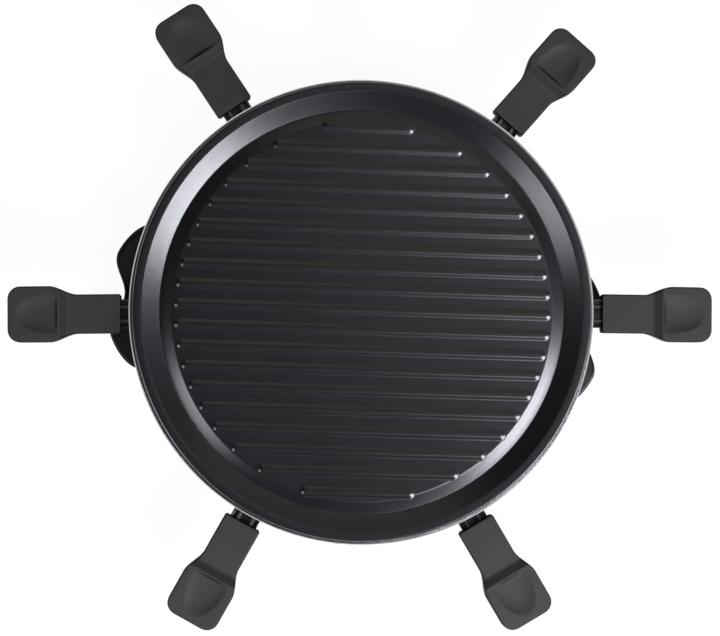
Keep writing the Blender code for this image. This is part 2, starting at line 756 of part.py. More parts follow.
def make_handle(number):
    corner_start = HANDLE_LENGTH - HANDLE_TIP_CORNER
    places = (
        0,
        HANDLE_BASE_CORNER,
        HANDLE_NECK_LENGTH,
        HANDLE_RIDGE_DISTANCE - HANDLE_RIDGE_RUN,
        HANDLE_RIDGE_DISTANCE,
        HANDLE_RIDGE_DISTANCE + HANDLE_EDGE_ROUND,
        HANDLE_PAD_START,
        (HANDLE_PAD_START + corner_start) / 2,
        corner_start,
        *[corner_start + HANDLE_TIP_CORNER * share for share in HANDLE_CORNER_SHARES],
        HANDLE_LENGTH,
    )
    loops = [[(place, y, z) for y, z in handle_section(place)] for place in places]
    handle = lofted(f"pan_handle_{number}", loops, LOOKS["handle_plastic"])
    half = STEM_HALF + HANDLE_SOCKET_GAP
    socket = slab(
        f"stem_socket_{number}",
        rectangle(-OVERRUN, STEM_INSERT + GAP, half),
        STEM_BOTTOM - HANDLE_SOCKET_GAP,
        STEM_TOP + HANDLE_SOCKET_GAP,
        LOOKS["steel"],
    )
    return cut(handle, socket)


def make_pans():
    for index, (bearing, yaw, drawn_share) in enumerate(PAN_PLACE_SHARES):
        number = index + 1
        start = HANDLE_START_RADIUS + PAN_PLAY * drawn_share
        place = (*polar(start, bearing), 0)
        for piece in (make_pan(number), make_stem(number), make_handle(number)):
            at(piece, place, yaw)


def make_uprights():
    half = UPRIGHT_WIDTH / 2
    inner = UPRIGHT_RADIUS - UPRIGHT_DEPTH / 2
    outer = UPRIGHT_RADIUS + UPRIGHT_DEPTH / 2
    outline = [
        (inner, -half),
        (outer, -half),
        (outer, half),
        (inner, half),
        (inner, half - UPRIGHT_SHEET),
        (outer - UPRIGHT_SHEET, half - UPRIGHT_SHEET),
        (outer - UPRIGHT_SHEET, UPRIGHT_SHEET - half),
        (inner, UPRIGHT_SHEET - half),
    ]
    for index in range(BAY_COUNT):
        wired = index == WIRED_UPRIGHT
        high = RING_BOTTOM + BLOCK_STAND if wired else RING_TOP - RING_SHEET - GAP
        name = "wired_upright" if wired else f"upright_{index + 1}"
        upright = slab(name, outline, TRAY_TOP + GAP, high, LOOKS["black_steel"])
        at(upright, bearing=upright_bearing(index))


def make_ring():
    profile = [
        (RING_OUTER_RADIUS - RING_ROUND, RING_TOP),
        (RING_OUTER_RADIUS, RING_TOP - RING_ROUND),
        (RING_OUTER_RADIUS, RING_BOTTOM),
        (CHANNEL_OUTER, RING_BOTTOM),
        (CHANNEL_OUTER, RING_TOP - RING_SHEET),
        (CHANNEL_INNER, RING_TOP - RING_SHEET),
        (CHANNEL_INNER, RING_TOP - RING_INNER_SKIRT),
        (RING_INNER_RADIUS, RING_TOP - RING_INNER_SKIRT),
        (RING_INNER_RADIUS, RING_TOP),
    ]
    ring = turned("heater_ring", profile, LOOKS["steel"], ring=True)
    length = RING_SHEET + OVERRUN * 2
    for side in (-1, 1):
        hole = turned(
            f"element_hole_{side}",
            [(ELEMENT_RADIUS + ELEMENT_HOLE_GAP, -length / 2), (ELEMENT_RADIUS + ELEMENT_HOLE_GAP, length / 2)],
            LOOKS["steel"],
            BORE_STEPS,
        )
        lying(hole, (RING_INNER_RADIUS + CHANNEL_INNER) / 2, ELEMENT_LEVEL, WIRED_BEARING)
        across_x, across_y = polar(ELEMENT_END_OFFSET * side, WIRED_BEARING + 90)
        hole.location.x += across_x
        hole.location.y += across_y
        cut(ring, hole)
    return ring


def plate_profile():
    """The grill plate's upper side, from its lip over the rim and gutter to the field."""
    rim_edge = PLATE_RADIUS - PLATE_EDGE_ROUND
    rim_low = PLATE_TOP - PLATE_RIM_FALL
    edge_cut = PLATE_EDGE_ROUND * PLATE_EDGE_CUT_SHARE
    upper = [
        (PLATE_RADIUS, PLATE_LIP_BOTTOM),
        (PLATE_RADIUS, rim_low - PLATE_EDGE_ROUND),
        (PLATE_RADIUS - edge_cut, rim_low - edge_cut),
        (rim_edge, rim_low),
        (PLATE_CREST_RADIUS, PLATE_TOP),
        (PLATE_GUTTER_RADIUS, PLATE_GUTTER),
        (PLATE_FIELD_RADIUS, PLATE_FIELD),
    ]
    under = parallel(upper, -PLATE_THICK)
    lip_under = (PLATE_RADIUS - PLATE_THICK, PLATE_LIP_BOTTOM)
    under_edge = (PLATE_RADIUS - PLATE_THICK, under[3][1])
    field_under = (under[6][0], PLATE_FIELD - PLATE_THICK)
    return upper[::-1] + [lip_under, under_edge, under[4], under[5], field_under]


def make_plate():
    plate = turned("grill_plate", plate_profile(), LOOKS["plate_coating"])
    bm = bmesh.new()
    for index in range(RIB_COUNT):
        y = RIB_PITCH * (index - RIB_SIDE_COUNT) + RIB_SHIFT
        half_length = math.sqrt(RIB_CIRCLE_RADIUS**2 - y**2)
        add_rib(bm, y, half_length)
    ribs = new_object("ribs", bm, LOOKS["plate_coating"])
    fuse(plate, ribs)
    return at(plate, bearing=PLATE_TURN)


def add_rib(bm, y, half_length):
    """One pressed rib with rounded ends, as a closed body that sinks into the field."""
    corners = [
        (-half_length, y - RIB_HALF),
        (half_length, y - RIB_HALF),
        (half_length, y + RIB_HALF),
        (-half_length, y + RIB_HALF),
    ]
    levels = ((-RIB_ROOT, 0.0), (0.0, 0.0), (RIB_HEIGHT, RIB_FLANK))
    rows = []
    for rise, inset in levels:
        outline = rounded(corners, [RIB_HALF - WELD] * 4, inset)
        rows.append([bm.verts.new((x, yy, PLATE_FIELD + rise)) for x, yy in outline])
    for low, high in zip(rows, rows[1:]):
        for i in range(len(low)):
            j = (i + 1) % len(low)
            bm.faces.new((low[i], low[j], high[j], high[i]))
    bm.faces.new(rows[0][::-1])
    bm.faces.new(rows[-1])


def element_route():
    """The element's centre line: one loop whose two ends run outwards side by side."""
    bend_centre_y = ELEMENT_END_OFFSET + ELEMENT_BEND
    span = ELEMENT_LOOP_RADIUS + ELEMENT_BEND
    bend_centre_x = math.sqrt(span**2 - bend_centre_y**2)
    touch = math.atan2(bend_centre_y, bend_centre_x)
    end = UPRIGHT_RADIUS - BLOCK_DEPTH / 2 - GAP
    first = [(end, ELEMENT_END_OFFSET)]
    for step in range(ELEMENT_BEND_POINTS + 1):
        angle = math.radians(270) - (math.pi / 2 - touch) * step / ELEMENT_BEND_POINTS
        first.append(
            (
                bend_centre_x + ELEMENT_BEND * math.cos(angle),
                bend_centre_y + ELEMENT_BEND * math.sin(angle),
            )
        )
    loop = []
    for step in range(1, ELEMENT_LOOP_POINTS):
        angle = touch + (math.tau - 2 * touch) * step / ELEMENT_LOOP_POINTS
        loop.append((ELEMENT_LOOP_RADIUS * math.cos(angle), ELEMENT_LOOP_RADIUS * math.sin(angle)))
    last = [(x, -y) for x, y in reversed(first)]
    return [(x, y, ELEMENT_LEVEL) for x, y in first + loop + last]


def make_element():
    route = element_route()
    element = tube("heating_element", route, ELEMENT_RADIUS, LOOKS["element"], ELEMENT_SIDE_STEPS)
    at(element, bearing=WIRED_BEARING)
    wall = RING_INNER_RADIUS - GAP * 2
    top = ELEMENT_LEVEL - ELEMENT_RADIUS - GAP
    low = top - BRACKET_SHEET
    inner = ELEMENT_LOOP_RADIUS - ELEMENT_RADIUS - BRACKET_HOOK_GAP - BRACKET_SHEET
    outline = [
        (inner, low),
        (wall, low),
        (wall, low + BRACKET_TAB),
        (wall - BRACKET_SHEET, low + BRACKET_TAB),
        (wall - BRACKET_SHEET, top),
        (inner + BRACKET_SHEET, top),
        (inner + BRACKET_SHEET, low + BRACKET_HOOK),
        (inner, low + BRACKET_HOOK),
    ]
    for index in range(BRACKET_COUNT):
        bracket = upright_slab(f"element_bracket_{index + 1}", outline, BRACKET_WIDTH / 2, LOOKS["zinc_sheet"])
        at(bracket, bearing=WIRED_BEARING + 360.0 * (index + 1) / (BRACKET_COUNT + 1))
    block_inner = UPRIGHT_RADIUS - BLOCK_DEPTH / 2
    block = slab(
        "element_terminal_block",
        rectangle(block_inner, block_inner + BLOCK_DEPTH, BLOCK_HALF_WIDTH),
        RING_BOTTOM + BLOCK_STAND + GAP,
        RING_TOP - RING_SHEET - GAP,
        LOOKS["ceramic"],
    )
    at(block, bearing=WIRED_BEARING)


def make_controls():
    bearing = STAND_TURN + FRONT_BEARING
    half_height = PANEL_HEIGHT / 2
    panel = slab(
        "control_panel",
        rectangle(PANEL_BACK, PANEL_BACK + PANEL_THICK, PANEL_HALF_WIDTH),
        CONTROL_LEVEL - half_height,
        CONTROL_LEVEL + half_height,
        LOOKS["black_plastic"],
    )
    for name, radius, across in (("shaft_hole", SHAFT_RADIUS, 0), ("lamp_hole", LAMP_RADIUS, LAMP_OFFSET)):
        hole = turned(
            name,
            [(radius + GAP, -OVERRUN), (radius + GAP, PANEL_THICK + OVERRUN)],
            LOOKS["steel"],
            BORE_STEPS,
        )
        hole.location = (PANEL_BACK, across, CONTROL_LEVEL)
        hole.rotation_euler = (0, math.radians(90), 0)
        cut(panel, hole)
    at(panel, bearing=bearing)
    make_thermostat(bearing)
    make_knob(bearing)
    lamp = turned(
        "pilot_lamp",
        [
            (LAMP_RADIUS, PANEL_THICK - LAMP_LENGTH),
            (LAMP_RADIUS, PANEL_THICK + LAMP_PROUD / 2),
            (LAMP_RADIUS - LAMP_PROUD / 2, PANEL_THICK + LAMP_PROUD),
        ],
        LOOKS["lamp"],
        BORE_STEPS,
    )
    lying(lamp, PANEL_BACK, CONTROL_LEVEL, bearing)
    across_x, across_y = polar(LAMP_OFFSET, bearing + 90)
    lamp.location.x += across_x
    lamp.location.y += across_y


def make_thermostat(bearing):
    """The switch body behind the panel, with a blind bore for the knob's shaft."""
    back = -THERMOSTAT_DISC - THERMOSTAT_NOSE - GAP
    shoulder = -THERMOSTAT_NOSE - GAP
    bore = SHAFT_RADIUS + GAP
    profile = [
        (THERMOSTAT_RADIUS, back),
        (THERMOSTAT_RADIUS, shoulder),
        (THERMOSTAT_NOSE_RADIUS, shoulder),
        (THERMOSTAT_NOSE_RADIUS, -GAP),
        (bore, -GAP),
        (bore, -SHAFT_INSERT - GAP),
    ]
    lying(turned("thermostat", profile, LOOKS["ceramic"], BORE_STEPS), PANEL_BACK, CONTROL_LEVEL, bearing)


def make_knob(bearing):
    """The knob's origin lies on its axis at the panel's face, and its shaft's too."""
    face = PANEL_BACK + PANEL_THICK
    bore = SHAFT_RADIUS + GAP
    profile = [
        (KNOB_GRIP_RADIUS - KNOB_CROWN, KNOB_DEPTH),
        (KNOB_GRIP_RADIUS, KNOB_DEPTH - KNOB_CROWN),
        (KNOB_RADIUS, GAP),
        (bore, GAP),
        (bore, KNOB_SOCKET_DEPTH),
    ]
    knob = turned("thermostat_knob", profile, LOOKS["black_plastic"], ROUND_STEPS // 2)
    mark = slab(
        "knob_mark",
        rectangle(-KNOB_GRIP_RADIUS + KNOB_CROWN, 0, KNOB_MARK_WIDTH / 2),
        KNOB_DEPTH - KNOB_CROWN / 2,
        KNOB_DEPTH + KNOB_MARK_HEIGHT,
        LOOKS["black_plastic"],
    )
    fuse(knob, mark)
    lying(knob, face, CONTROL_LEVEL, bearing)
    shaft = turned(
        "thermostat_shaft",
        [(SHAFT_RADIUS, -PANEL_THICK - SHAFT_INSERT), (SHAFT_RADIUS, KNOB_SOCKET_DEPTH - GAP)],
        LOOKS["steel"],
        SHAFT_STEPS,
    )
    lying(shaft, face, CONTROL_LEVEL, bearing)


def make_inlet():
    """The bush that lines the hole where the mains cord enters, and the block behind it."""
    level = TRAY_BOTTOM + INLET_ABOVE_BASE
    face = tray_radius(level + INLET_FLANGE_RADIUS)
    inner_face = tray_radius(level - INLET_FLANGE_RADIUS, TRAY_WALL) - GAP * 2
    reach = inner_face - face
    profile = [
        (INLET_FLANGE_RADIUS, INLET_FLANGE_THICK),
        (INLET_FLANGE_RADIUS, 0),
        (INLET_BODY_RADIUS, 0),
        (INLET_BODY_RADIUS, reach),
        (INLET_FLANGE_RADIUS, reach),
        (INLET_FLANGE_RADIUS, reach - INLET_INNER_FLANGE),
        (INLET_BORE_RADIUS, reach - INLET_INNER_FLANGE),
        (INLET_BORE_RADIUS, INLET_FLANGE_THICK),
    ]
    bush = turned("cord_inlet_bush", profile, LOOKS["rubber"], BORE_STEPS, ring=True)
    lying(bush, face + GAP, level, STAND_TURN + BACK_BEARING)
    block_bottom = TRAY_BOTTOM + COVER_THICK + GAP
    block = slab(
        "mains_terminal_block",
        rectangle(MAINS_BLOCK_RADIUS, MAINS_BLOCK_RADIUS + MAINS_BLOCK_DEPTH, MAINS_BLOCK_HALF_WIDTH),
        block_bottom,
        block_bottom + MAINS_BLOCK_HEIGHT,
        LOOKS["ceramic"],
    )
    at(block, bearing=STAND_TURN + BACK_BEARING)
    earth = screw_up("earth_screw", TRAY_BOTTOM - GAP, COVER_THICK + MAINS_BLOCK_HEIGHT / 2)
    at(earth, (*stand_polar(EARTH_SCREW_RADIUS, BACK_BEARING), 0))


def straight_run(x, y, run, level):
    """A lead's first points, which leave a face squarely along Y."""
    return [(x, y, level), (x, y + run / 2, level), (x, y + run, level)]


def make_leads():
    """Four leads, in the stand's own frame: its front is -Y and its back +Y."""
    floor = TRAY_BOTTOM + COVER_THICK + LEAD_FLOOR
    block_level = TRAY_BOTTOM + COVER_THICK + GAP + MAINS_BLOCK_HEIGHT / 2
    block_face = MAINS_BLOCK_RADIUS - GAP
    apart = MAINS_BLOCK_HALF_WIDTH / 2
    switch_face = -(PANEL_BACK - THERMOSTAT_DISC - THERMOSTAT_NOSE - GAP * 2)
    switch_apart = THERMOSTAT_RADIUS / 2
    live = [
        *straight_run(apart, block_face, -LEAD_EXIT_RUN, block_level),
        (LEAD_SIDE_OFFSET, HUB_RADIUS, floor),
        (LEAD_SIDE_OFFSET, -HUB_RADIUS, floor),
        *straight_run(switch_apart, switch_face, LEAD_EXIT_RUN, CONTROL_LEVEL)[::-1],
    ]
    rise_end = RING_BOTTOM + BLOCK_STAND
    risers = {}
    for side in (-1, 1):
        risers[side] = [
            (*riser_place(side, LEAD_APPROACH * 2), floor),
            (*riser_place(side, LEAD_APPROACH), floor + LEAD_FLOOR),
            (*riser_place(side, 0), TRAY_LIP_UNDER - LEAD_FLOOR * 2),
            (*riser_place(side, 0), TRAY_LIP_UNDER),
            (*riser_place(side, 0), TRAY_TOP + UPRIGHT_WIDTH),
            (*riser_place(side, 0), rise_end),
        ]
    switched = [
        *straight_run(-switch_apart, switch_face, LEAD_EXIT_RUN, CONTROL_LEVEL),
        (*[LEAD_RISE_RADIUS * share for share in SWITCHED_VIA_SHARES], floor),
        *risers[1],
    ]
    neutral = [
        *straight_run(-apart, block_face, -LEAD_EXIT_RUN, block_level),
        (-LEAD_SIDE_OFFSET, HUB_RADIUS, floor),
        (*[LEAD_RISE_RADIUS * share for share in NEUTRAL_VIA_SHARES], floor),
        *risers[-1],
    ]
    earth_top = TRAY_BOTTOM + COVER_THICK + MAINS_BLOCK_HEIGHT / 4
    earth_end = EARTH_SCREW_RADIUS + SCREW_RADIUS + LEAD_RADIUS / 2
    earth = [
        *straight_run(0, block_face, -LEAD_EXIT_RUN, block_level),
        (0, earth_end, earth_top),
    ]
    routes = {"live_lead": live, "switched_lead": switched, "neutral_lead": neutral, "earth_lead": earth}
    looks = {"live_lead": "brown", "switched_lead": "brown", "neutral_lead": "blue", "earth_lead": "green"}
    for name, route in routes.items():
        line = smooth_route(route, LEAD_STEPS)
        lead = tube(name, line, LEAD_RADIUS, LOOKS[looks[name]], LEAD_SIDE_STEPS)
        at(lead, bearing=STAND_TURN)


clear_scene()
LOOKS = {
    "black_plastic": finish("black_plastic", (0.022, 0.022, 0.023), 0.55, 0.0),
    "handle_plastic": finish("handle_plastic", (0.040, 0.040, 0.042), 0.60, 0.0),
    "plate_coating": finish("plate_coating", (0.028, 0.028, 0.032), 0.38, 0.1),
    "pan_coating": finish("pan_coating", (0.022, 0.022, 0.024), 0.42, 0.1),
    "black_steel": finish("black_steel", (0.020, 0.020, 0.021), 0.40, 0.2),
    "stem_steel": finish("stem_steel", (0.030, 0.030, 0.031), 0.35, 0.6),
    "deck": finish("deck", (0.030, 0.030, 0.031), 0.45, 0.3),
    "zinc_sheet": finish("zinc_sheet", (0.48, 0.49, 0.50), 0.42, 1.0),
    "element": finish("element", (0.16, 0.16, 0.165), 0.50, 0.8),
    "steel": finish("steel", (0.55, 0.55, 0.56), 0.30, 1.0),
    "rubber": finish("rubber", (0.015, 0.015, 0.015), 0.80, 0.0),
    "ceramic": finish("ceramic", (0.78, 0.76, 0.70), 0.55, 0.0),
    "lamp": finish("lamp", (0.75, 0.16, 0.03), 0.20, 0.0),
    "brown": finish("brown", (0.16, 0.07, 0.03), 0.50, 0.0),
    "blue": finish("blue", (0.03, 0.12, 0.42), 0.50, 0.0),
    "green": finish("green", (0.12, 0.34, 0.05), 0.50, 0.0),
}
make_feet()
make_tray()
make_cover()
make_deck()
make_grips()
make_pans()
make_uprights()
make_ring()
make_plate()
make_element()
make_controls()
make_inlet()
make_leads()
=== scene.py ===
"""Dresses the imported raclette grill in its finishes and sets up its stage, lamps and camera.

Everything is in metres in the grill's own frame: +X runs along the right-hand pan, +Z is up.
"""

import json
import math

import bmesh
import bpy
from bpy.props import FloatProperty, FloatVectorProperty, IntProperty, PointerProperty
from mathutils import Matrix, Vector

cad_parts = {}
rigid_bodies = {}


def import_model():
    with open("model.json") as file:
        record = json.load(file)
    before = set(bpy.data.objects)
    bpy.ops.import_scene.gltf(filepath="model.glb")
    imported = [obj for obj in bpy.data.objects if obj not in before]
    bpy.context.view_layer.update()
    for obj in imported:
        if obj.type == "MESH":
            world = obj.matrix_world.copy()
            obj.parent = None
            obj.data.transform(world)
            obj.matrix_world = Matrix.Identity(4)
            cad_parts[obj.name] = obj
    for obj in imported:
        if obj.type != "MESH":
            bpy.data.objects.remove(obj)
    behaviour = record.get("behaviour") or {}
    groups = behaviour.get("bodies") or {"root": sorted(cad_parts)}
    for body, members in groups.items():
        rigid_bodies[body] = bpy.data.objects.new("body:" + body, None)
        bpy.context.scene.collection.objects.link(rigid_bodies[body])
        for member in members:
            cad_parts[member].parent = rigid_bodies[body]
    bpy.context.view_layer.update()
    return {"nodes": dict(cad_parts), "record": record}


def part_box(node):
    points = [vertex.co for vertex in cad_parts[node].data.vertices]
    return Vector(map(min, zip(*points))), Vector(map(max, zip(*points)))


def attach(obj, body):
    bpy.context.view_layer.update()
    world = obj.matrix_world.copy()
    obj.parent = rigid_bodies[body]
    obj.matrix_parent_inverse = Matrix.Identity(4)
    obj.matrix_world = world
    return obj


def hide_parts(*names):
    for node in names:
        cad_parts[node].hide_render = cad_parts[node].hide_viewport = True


bl_info = {
    "name": "Raclette grill",
    "version": (1, 0, 0),
    "blender": (4, 5, 0),
    "location": "3D View > Sidebar > Raclette",
    "description": "Dresses a table-top raclette grill and its stage",
    "category": "Object",
}

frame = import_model()

STAND_TURN = -5.0
PLATE_TURN = -1.75
PAN_NUMBERS = range(1, 7)
PAN_YAWS = (-0.7, 48.6, 123.5, 180.7, 240.5, 300.4)
SEAT_GAP = 0.0003
# These two bound the painted shade on steep faces by the normal's Z: full shade below SIDE_NORMAL, none above
# TOP_NORMAL.
SIDE_NORMAL, TOP_NORMAL = 0.66, 0.95

GROUPS = {}
LOOKS = {}


# Properties


def length(name, description, default):
    return FloatProperty(
        name=name, description=description, default=default, subtype="DISTANCE", unit="LENGTH", precision=5
    )


def whole_number(name, description, default, least):
    return IntProperty(name=name, description=description, default=default, min=least)


def colour(name, description, default):
    return FloatVectorProperty(
        name=name, description=description, default=default, subtype="COLOR", min=0.0, max=1.0
    )


def tilt(name, description, degrees):
    return FloatProperty(name=name, description=description, default=math.radians(degrees), subtype="ANGLE")


def lamp_power(name, description, watts):
    return FloatProperty(name=name, description=description, default=watts, subtype="POWER", unit="POWER")


class RaclettePlateSizes(bpy.types.PropertyGroup):
    """Sizes of the grill plate's ribs"""

    rib_count: whole_number("Ribs", "Number of ribs across the plate", 19, 1)
    rib_pitch: length("Rib pitch", "Distance from one rib to the next", 0.01325)
    rib_shift: length("Rib shift", "How far the ribs lie off the plate's middle", 0.001)
    rib_half: length("Rib half width", "Half the width of a rib at its foot", 0.0042)
    rib_height: length("Rib height", "Height of a rib above the field", 0.0013)
    rib_circle: length("Rib circle", "Radius of the circle that the ribs end on", 0.1241)


class RacletteTrimSizes(bpy.types.PropertyGroup):
    """Sizes of edges, dial marks and knob ridges"""

    sheet_edge: length("Sheet edge", "Rounding of sheet metal edges", 0.00035)
    moulded_edge: length("Moulded edge", "Rounding of moulded plastic edges", 0.0008)
    handle_edge: length("Handle edge", "Rounding of the pan handles' upper edges", 0.0012)
    knob_ridges: whole_number("Knob ridges", "Number of ridges round the knob", 30, 3)
    dial_marks: whole_number("Dial marks", "Number of marks round the dial", 11, 2)
    dial_radius: length("Dial radius", "Radius of the circle of dial marks", 0.0150)


class RacletteFinishes(bpy.types.PropertyGroup):
    """Base colours of the grill's finishes"""

    coating: colour("Plate coating", "Non-stick coating of the grill plate", (0.0034, 0.0032, 0.0058))
    pan_coating: colour("Pan coating", "Non-stick coating of the pans", (0.018, 0.018, 0.020))
    handle: colour("Handle plastic", "Plastic of the pan handles", (0.046, 0.046, 0.046))
    black_plastic: colour("Black plastic", "Plastic of the base, grips and knob", (0.0100, 0.0098, 0.0095))
    enamel: colour("Stove enamel", "Enamel of the uprights and deck", (0.018, 0.018, 0.019))
    steel: colour("Steel", "Plain steel of the ring, the screws and the shaft", (0.55, 0.55, 0.56))
    zinc: colour("Zinc plate", "Zinc-plated steel sheet", (0.46, 0.47, 0.48))
    ceramic: colour("Ceramic", "Unglazed ceramic blocks", (0.74, 0.72, 0.66))


class RacletteStageSettings(bpy.types.PropertyGroup):
    """Camera and lamps"""

    camera_distance: length("Camera distance", "Distance from the plate's rim to the camera", 1.30)
    tilt_left: tilt("Tilt to the left", "How far the camera leans to -X", 3.5)
    tilt_front: tilt("Tilt to the front", "How far the camera leans to -Y", 2.5)
    key_power: lamp_power("Key power", "Power of the large lamp at the right", 53.0)
    fill_power: lamp_power("Fill power", "Power of the weaker lamp at the left", 14.0)
    upper_power: lamp_power("Upper power", "Power of the weak lamp high above", 1.6)
    back_power: lamp_power("Back power", "Power of the wide, weak lamp behind", 3.2)
    rib_power: lamp_power("Rib power", "Power of the small lamp that the ribs mirror", 2.2)
    front_power: lamp_power("Front power", "Power of the near lamp in front", 26.0)
    top_power: lamp_power("Top power", "Power of the lamp above", 7.0)


# Node tools


class NodeWriter:
    """Adds nodes to a tree and links them, left to right."""

    def __init__(self, tree):
        self.tree = tree
        self.column = 0

    def add(self, kind, links=None, values=None, **settings):
        made = self.tree.nodes.new(kind)
        made.location = (self.column, 0)
        self.column += 180
        for name, value in settings.items():
            setattr(made, name, value)
        for socket, value in (values or {}).items():
            made.inputs[socket].default_value = value
        for socket, source in (links or {}).items():
            self.tree.links.new(source, made.inputs[socket])
        return made

    def compute(self, operation, *terms, **settings):
        """Add a Math node, whose terms are sockets or plain numbers, and give its result."""
        made = self.add("ShaderNodeMath", operation=operation, **settings)
        for place, term in enumerate(terms):
            if isinstance(term, bpy.types.NodeSocket):
                self.tree.links.new(term, made.inputs[place])
            else:
                made.inputs[place].default_value = term
        return made.outputs[0]


def group_sockets(tree, inputs, outputs):
    """Give a tree its named sockets: inputs are (name, socket type, default)."""
    for name, kind, default in inputs:
        socket = tree.interface.new_socket(name, in_out="INPUT", socket_type=kind)
        if default is not None:
            socket.default_value = default
    for name, kind in outputs:
        tree.interface.new_socket(name, in_out="OUTPUT", socket_type=kind)


def grain_group():
    """Fine moulded or sprayed grain, with broad patches that catch the light unevenly."""
    tree = bpy.data.node_groups.new("Surface grain", "ShaderNodeTree")
    group_sockets(
        tree,
        [
            ("Vector", "NodeSocketVector", None),
            ("Grain Size", "NodeSocketFloat", 0.0006),
            ("Patch Size", "NodeSocketFloat", 0.03),
        ],
        [("Grain", "NodeSocketFloat"), ("Patches", "NodeSocketFloat")],
    )
    write = NodeWriter(tree)
    given = write.add("NodeGroupInput").outputs
    noises = []
    for size, detail, roughness in (("Grain Size", 2.0, 0.55), ("Patch Size", 3.0, 0.6)):
        scale = write.compute("DIVIDE", 1.0, given[size])
        noise = write.add(
            "ShaderNodeTexNoise",
            {"Vector": given["Vector"], "Scale": scale},
            {"Detail": detail, "Roughness": roughness},
        )
        noises.append(noise.outputs["Fac"])
    write.add("NodeGroupOutput", {"Grain": noises[0], "Patches": noises[1]})
    return tree


def speckle_group():
    """Scattered fine specks, as in a sprayed non-stick coating."""
    tree = bpy.data.node_groups.new("Coating specks", "ShaderNodeTree")
    group_sockets(
        tree,
        [
            ("Vector", "NodeSocketVector", None),
            ("Speck Spacing", "NodeSocketFloat", 0.0011),
            ("Speck Share", "NodeSocketFloat", 0.25),
        ],
        [("Specks", "NodeSocketFloat")],
    )
    write = NodeWriter(tree)
    given = write.add("NodeGroupInput").outputs
    scale = write.compute("DIVIDE", 1.0, given["Speck Spacing"])
    cells = write.add("ShaderNodeTexVoronoi", {"Vector": given["Vector"], "Scale": scale})
    near = write.add(
        "ShaderNodeMapRange", {"Value": cells.outputs["Distance"]}, {"From Min": 0.34, "From Max": 0.10}
    )
    shade = write.add("ShaderNodeSeparateColor", {"Color": cells.outputs["Color"]})
    chosen = write.compute("LESS_THAN", shade.outputs["Red"], given["Speck Share"])
    write.add("NodeGroupOutput", {"Specks": write.compute("MULTIPLY", near.outputs[0], chosen)})
    return tree


def wear_and_highlight_group():
    """How far an edge stands out, as a mask for rubbed edges, which on the stems is also a painted highlight.
    """
    tree = bpy.data.node_groups.new("Edge wear", "ShaderNodeTree")
    group_sockets(
        tree,
        [
            ("Vector", "NodeSocketVector", None),
            ("Patch Size", "NodeSocketFloat", 0.006),
            ("Amount", "NodeSocketFloat", 0.5),
        ],
        [("Wear", "NodeSocketFloat")],
    )
    write = NodeWriter(tree)
    given = write.add("NodeGroupInput").outputs
    bend = write.add("ShaderNodeNewGeometry")
    edge = write.add(
        "ShaderNodeMapRange", {"Value": bend.outputs["Pointiness"]}, {"From Min": 0.52, "From Max": 0.60}
    )
    scale = write.compute("DIVIDE", 1.0, given["Patch Size"])
    noise = write.add("ShaderNodeTexNoise", {"Vector": given["Vector"], "Scale": scale})
    broken = write.compute("MULTIPLY", edge.outputs[0], noise.outputs["Fac"])
    write.add("NodeGroupOutput", {"Wear": write.compute("MULTIPLY", broken, given["Amount"], use_clamp=True)})
    return tree


def place_group(write, tree, vector, values):
    """Put a shader group in a material, with its own values."""
    return write.add("ShaderNodeGroup", {"Vector": vector}, values, node_tree=tree)


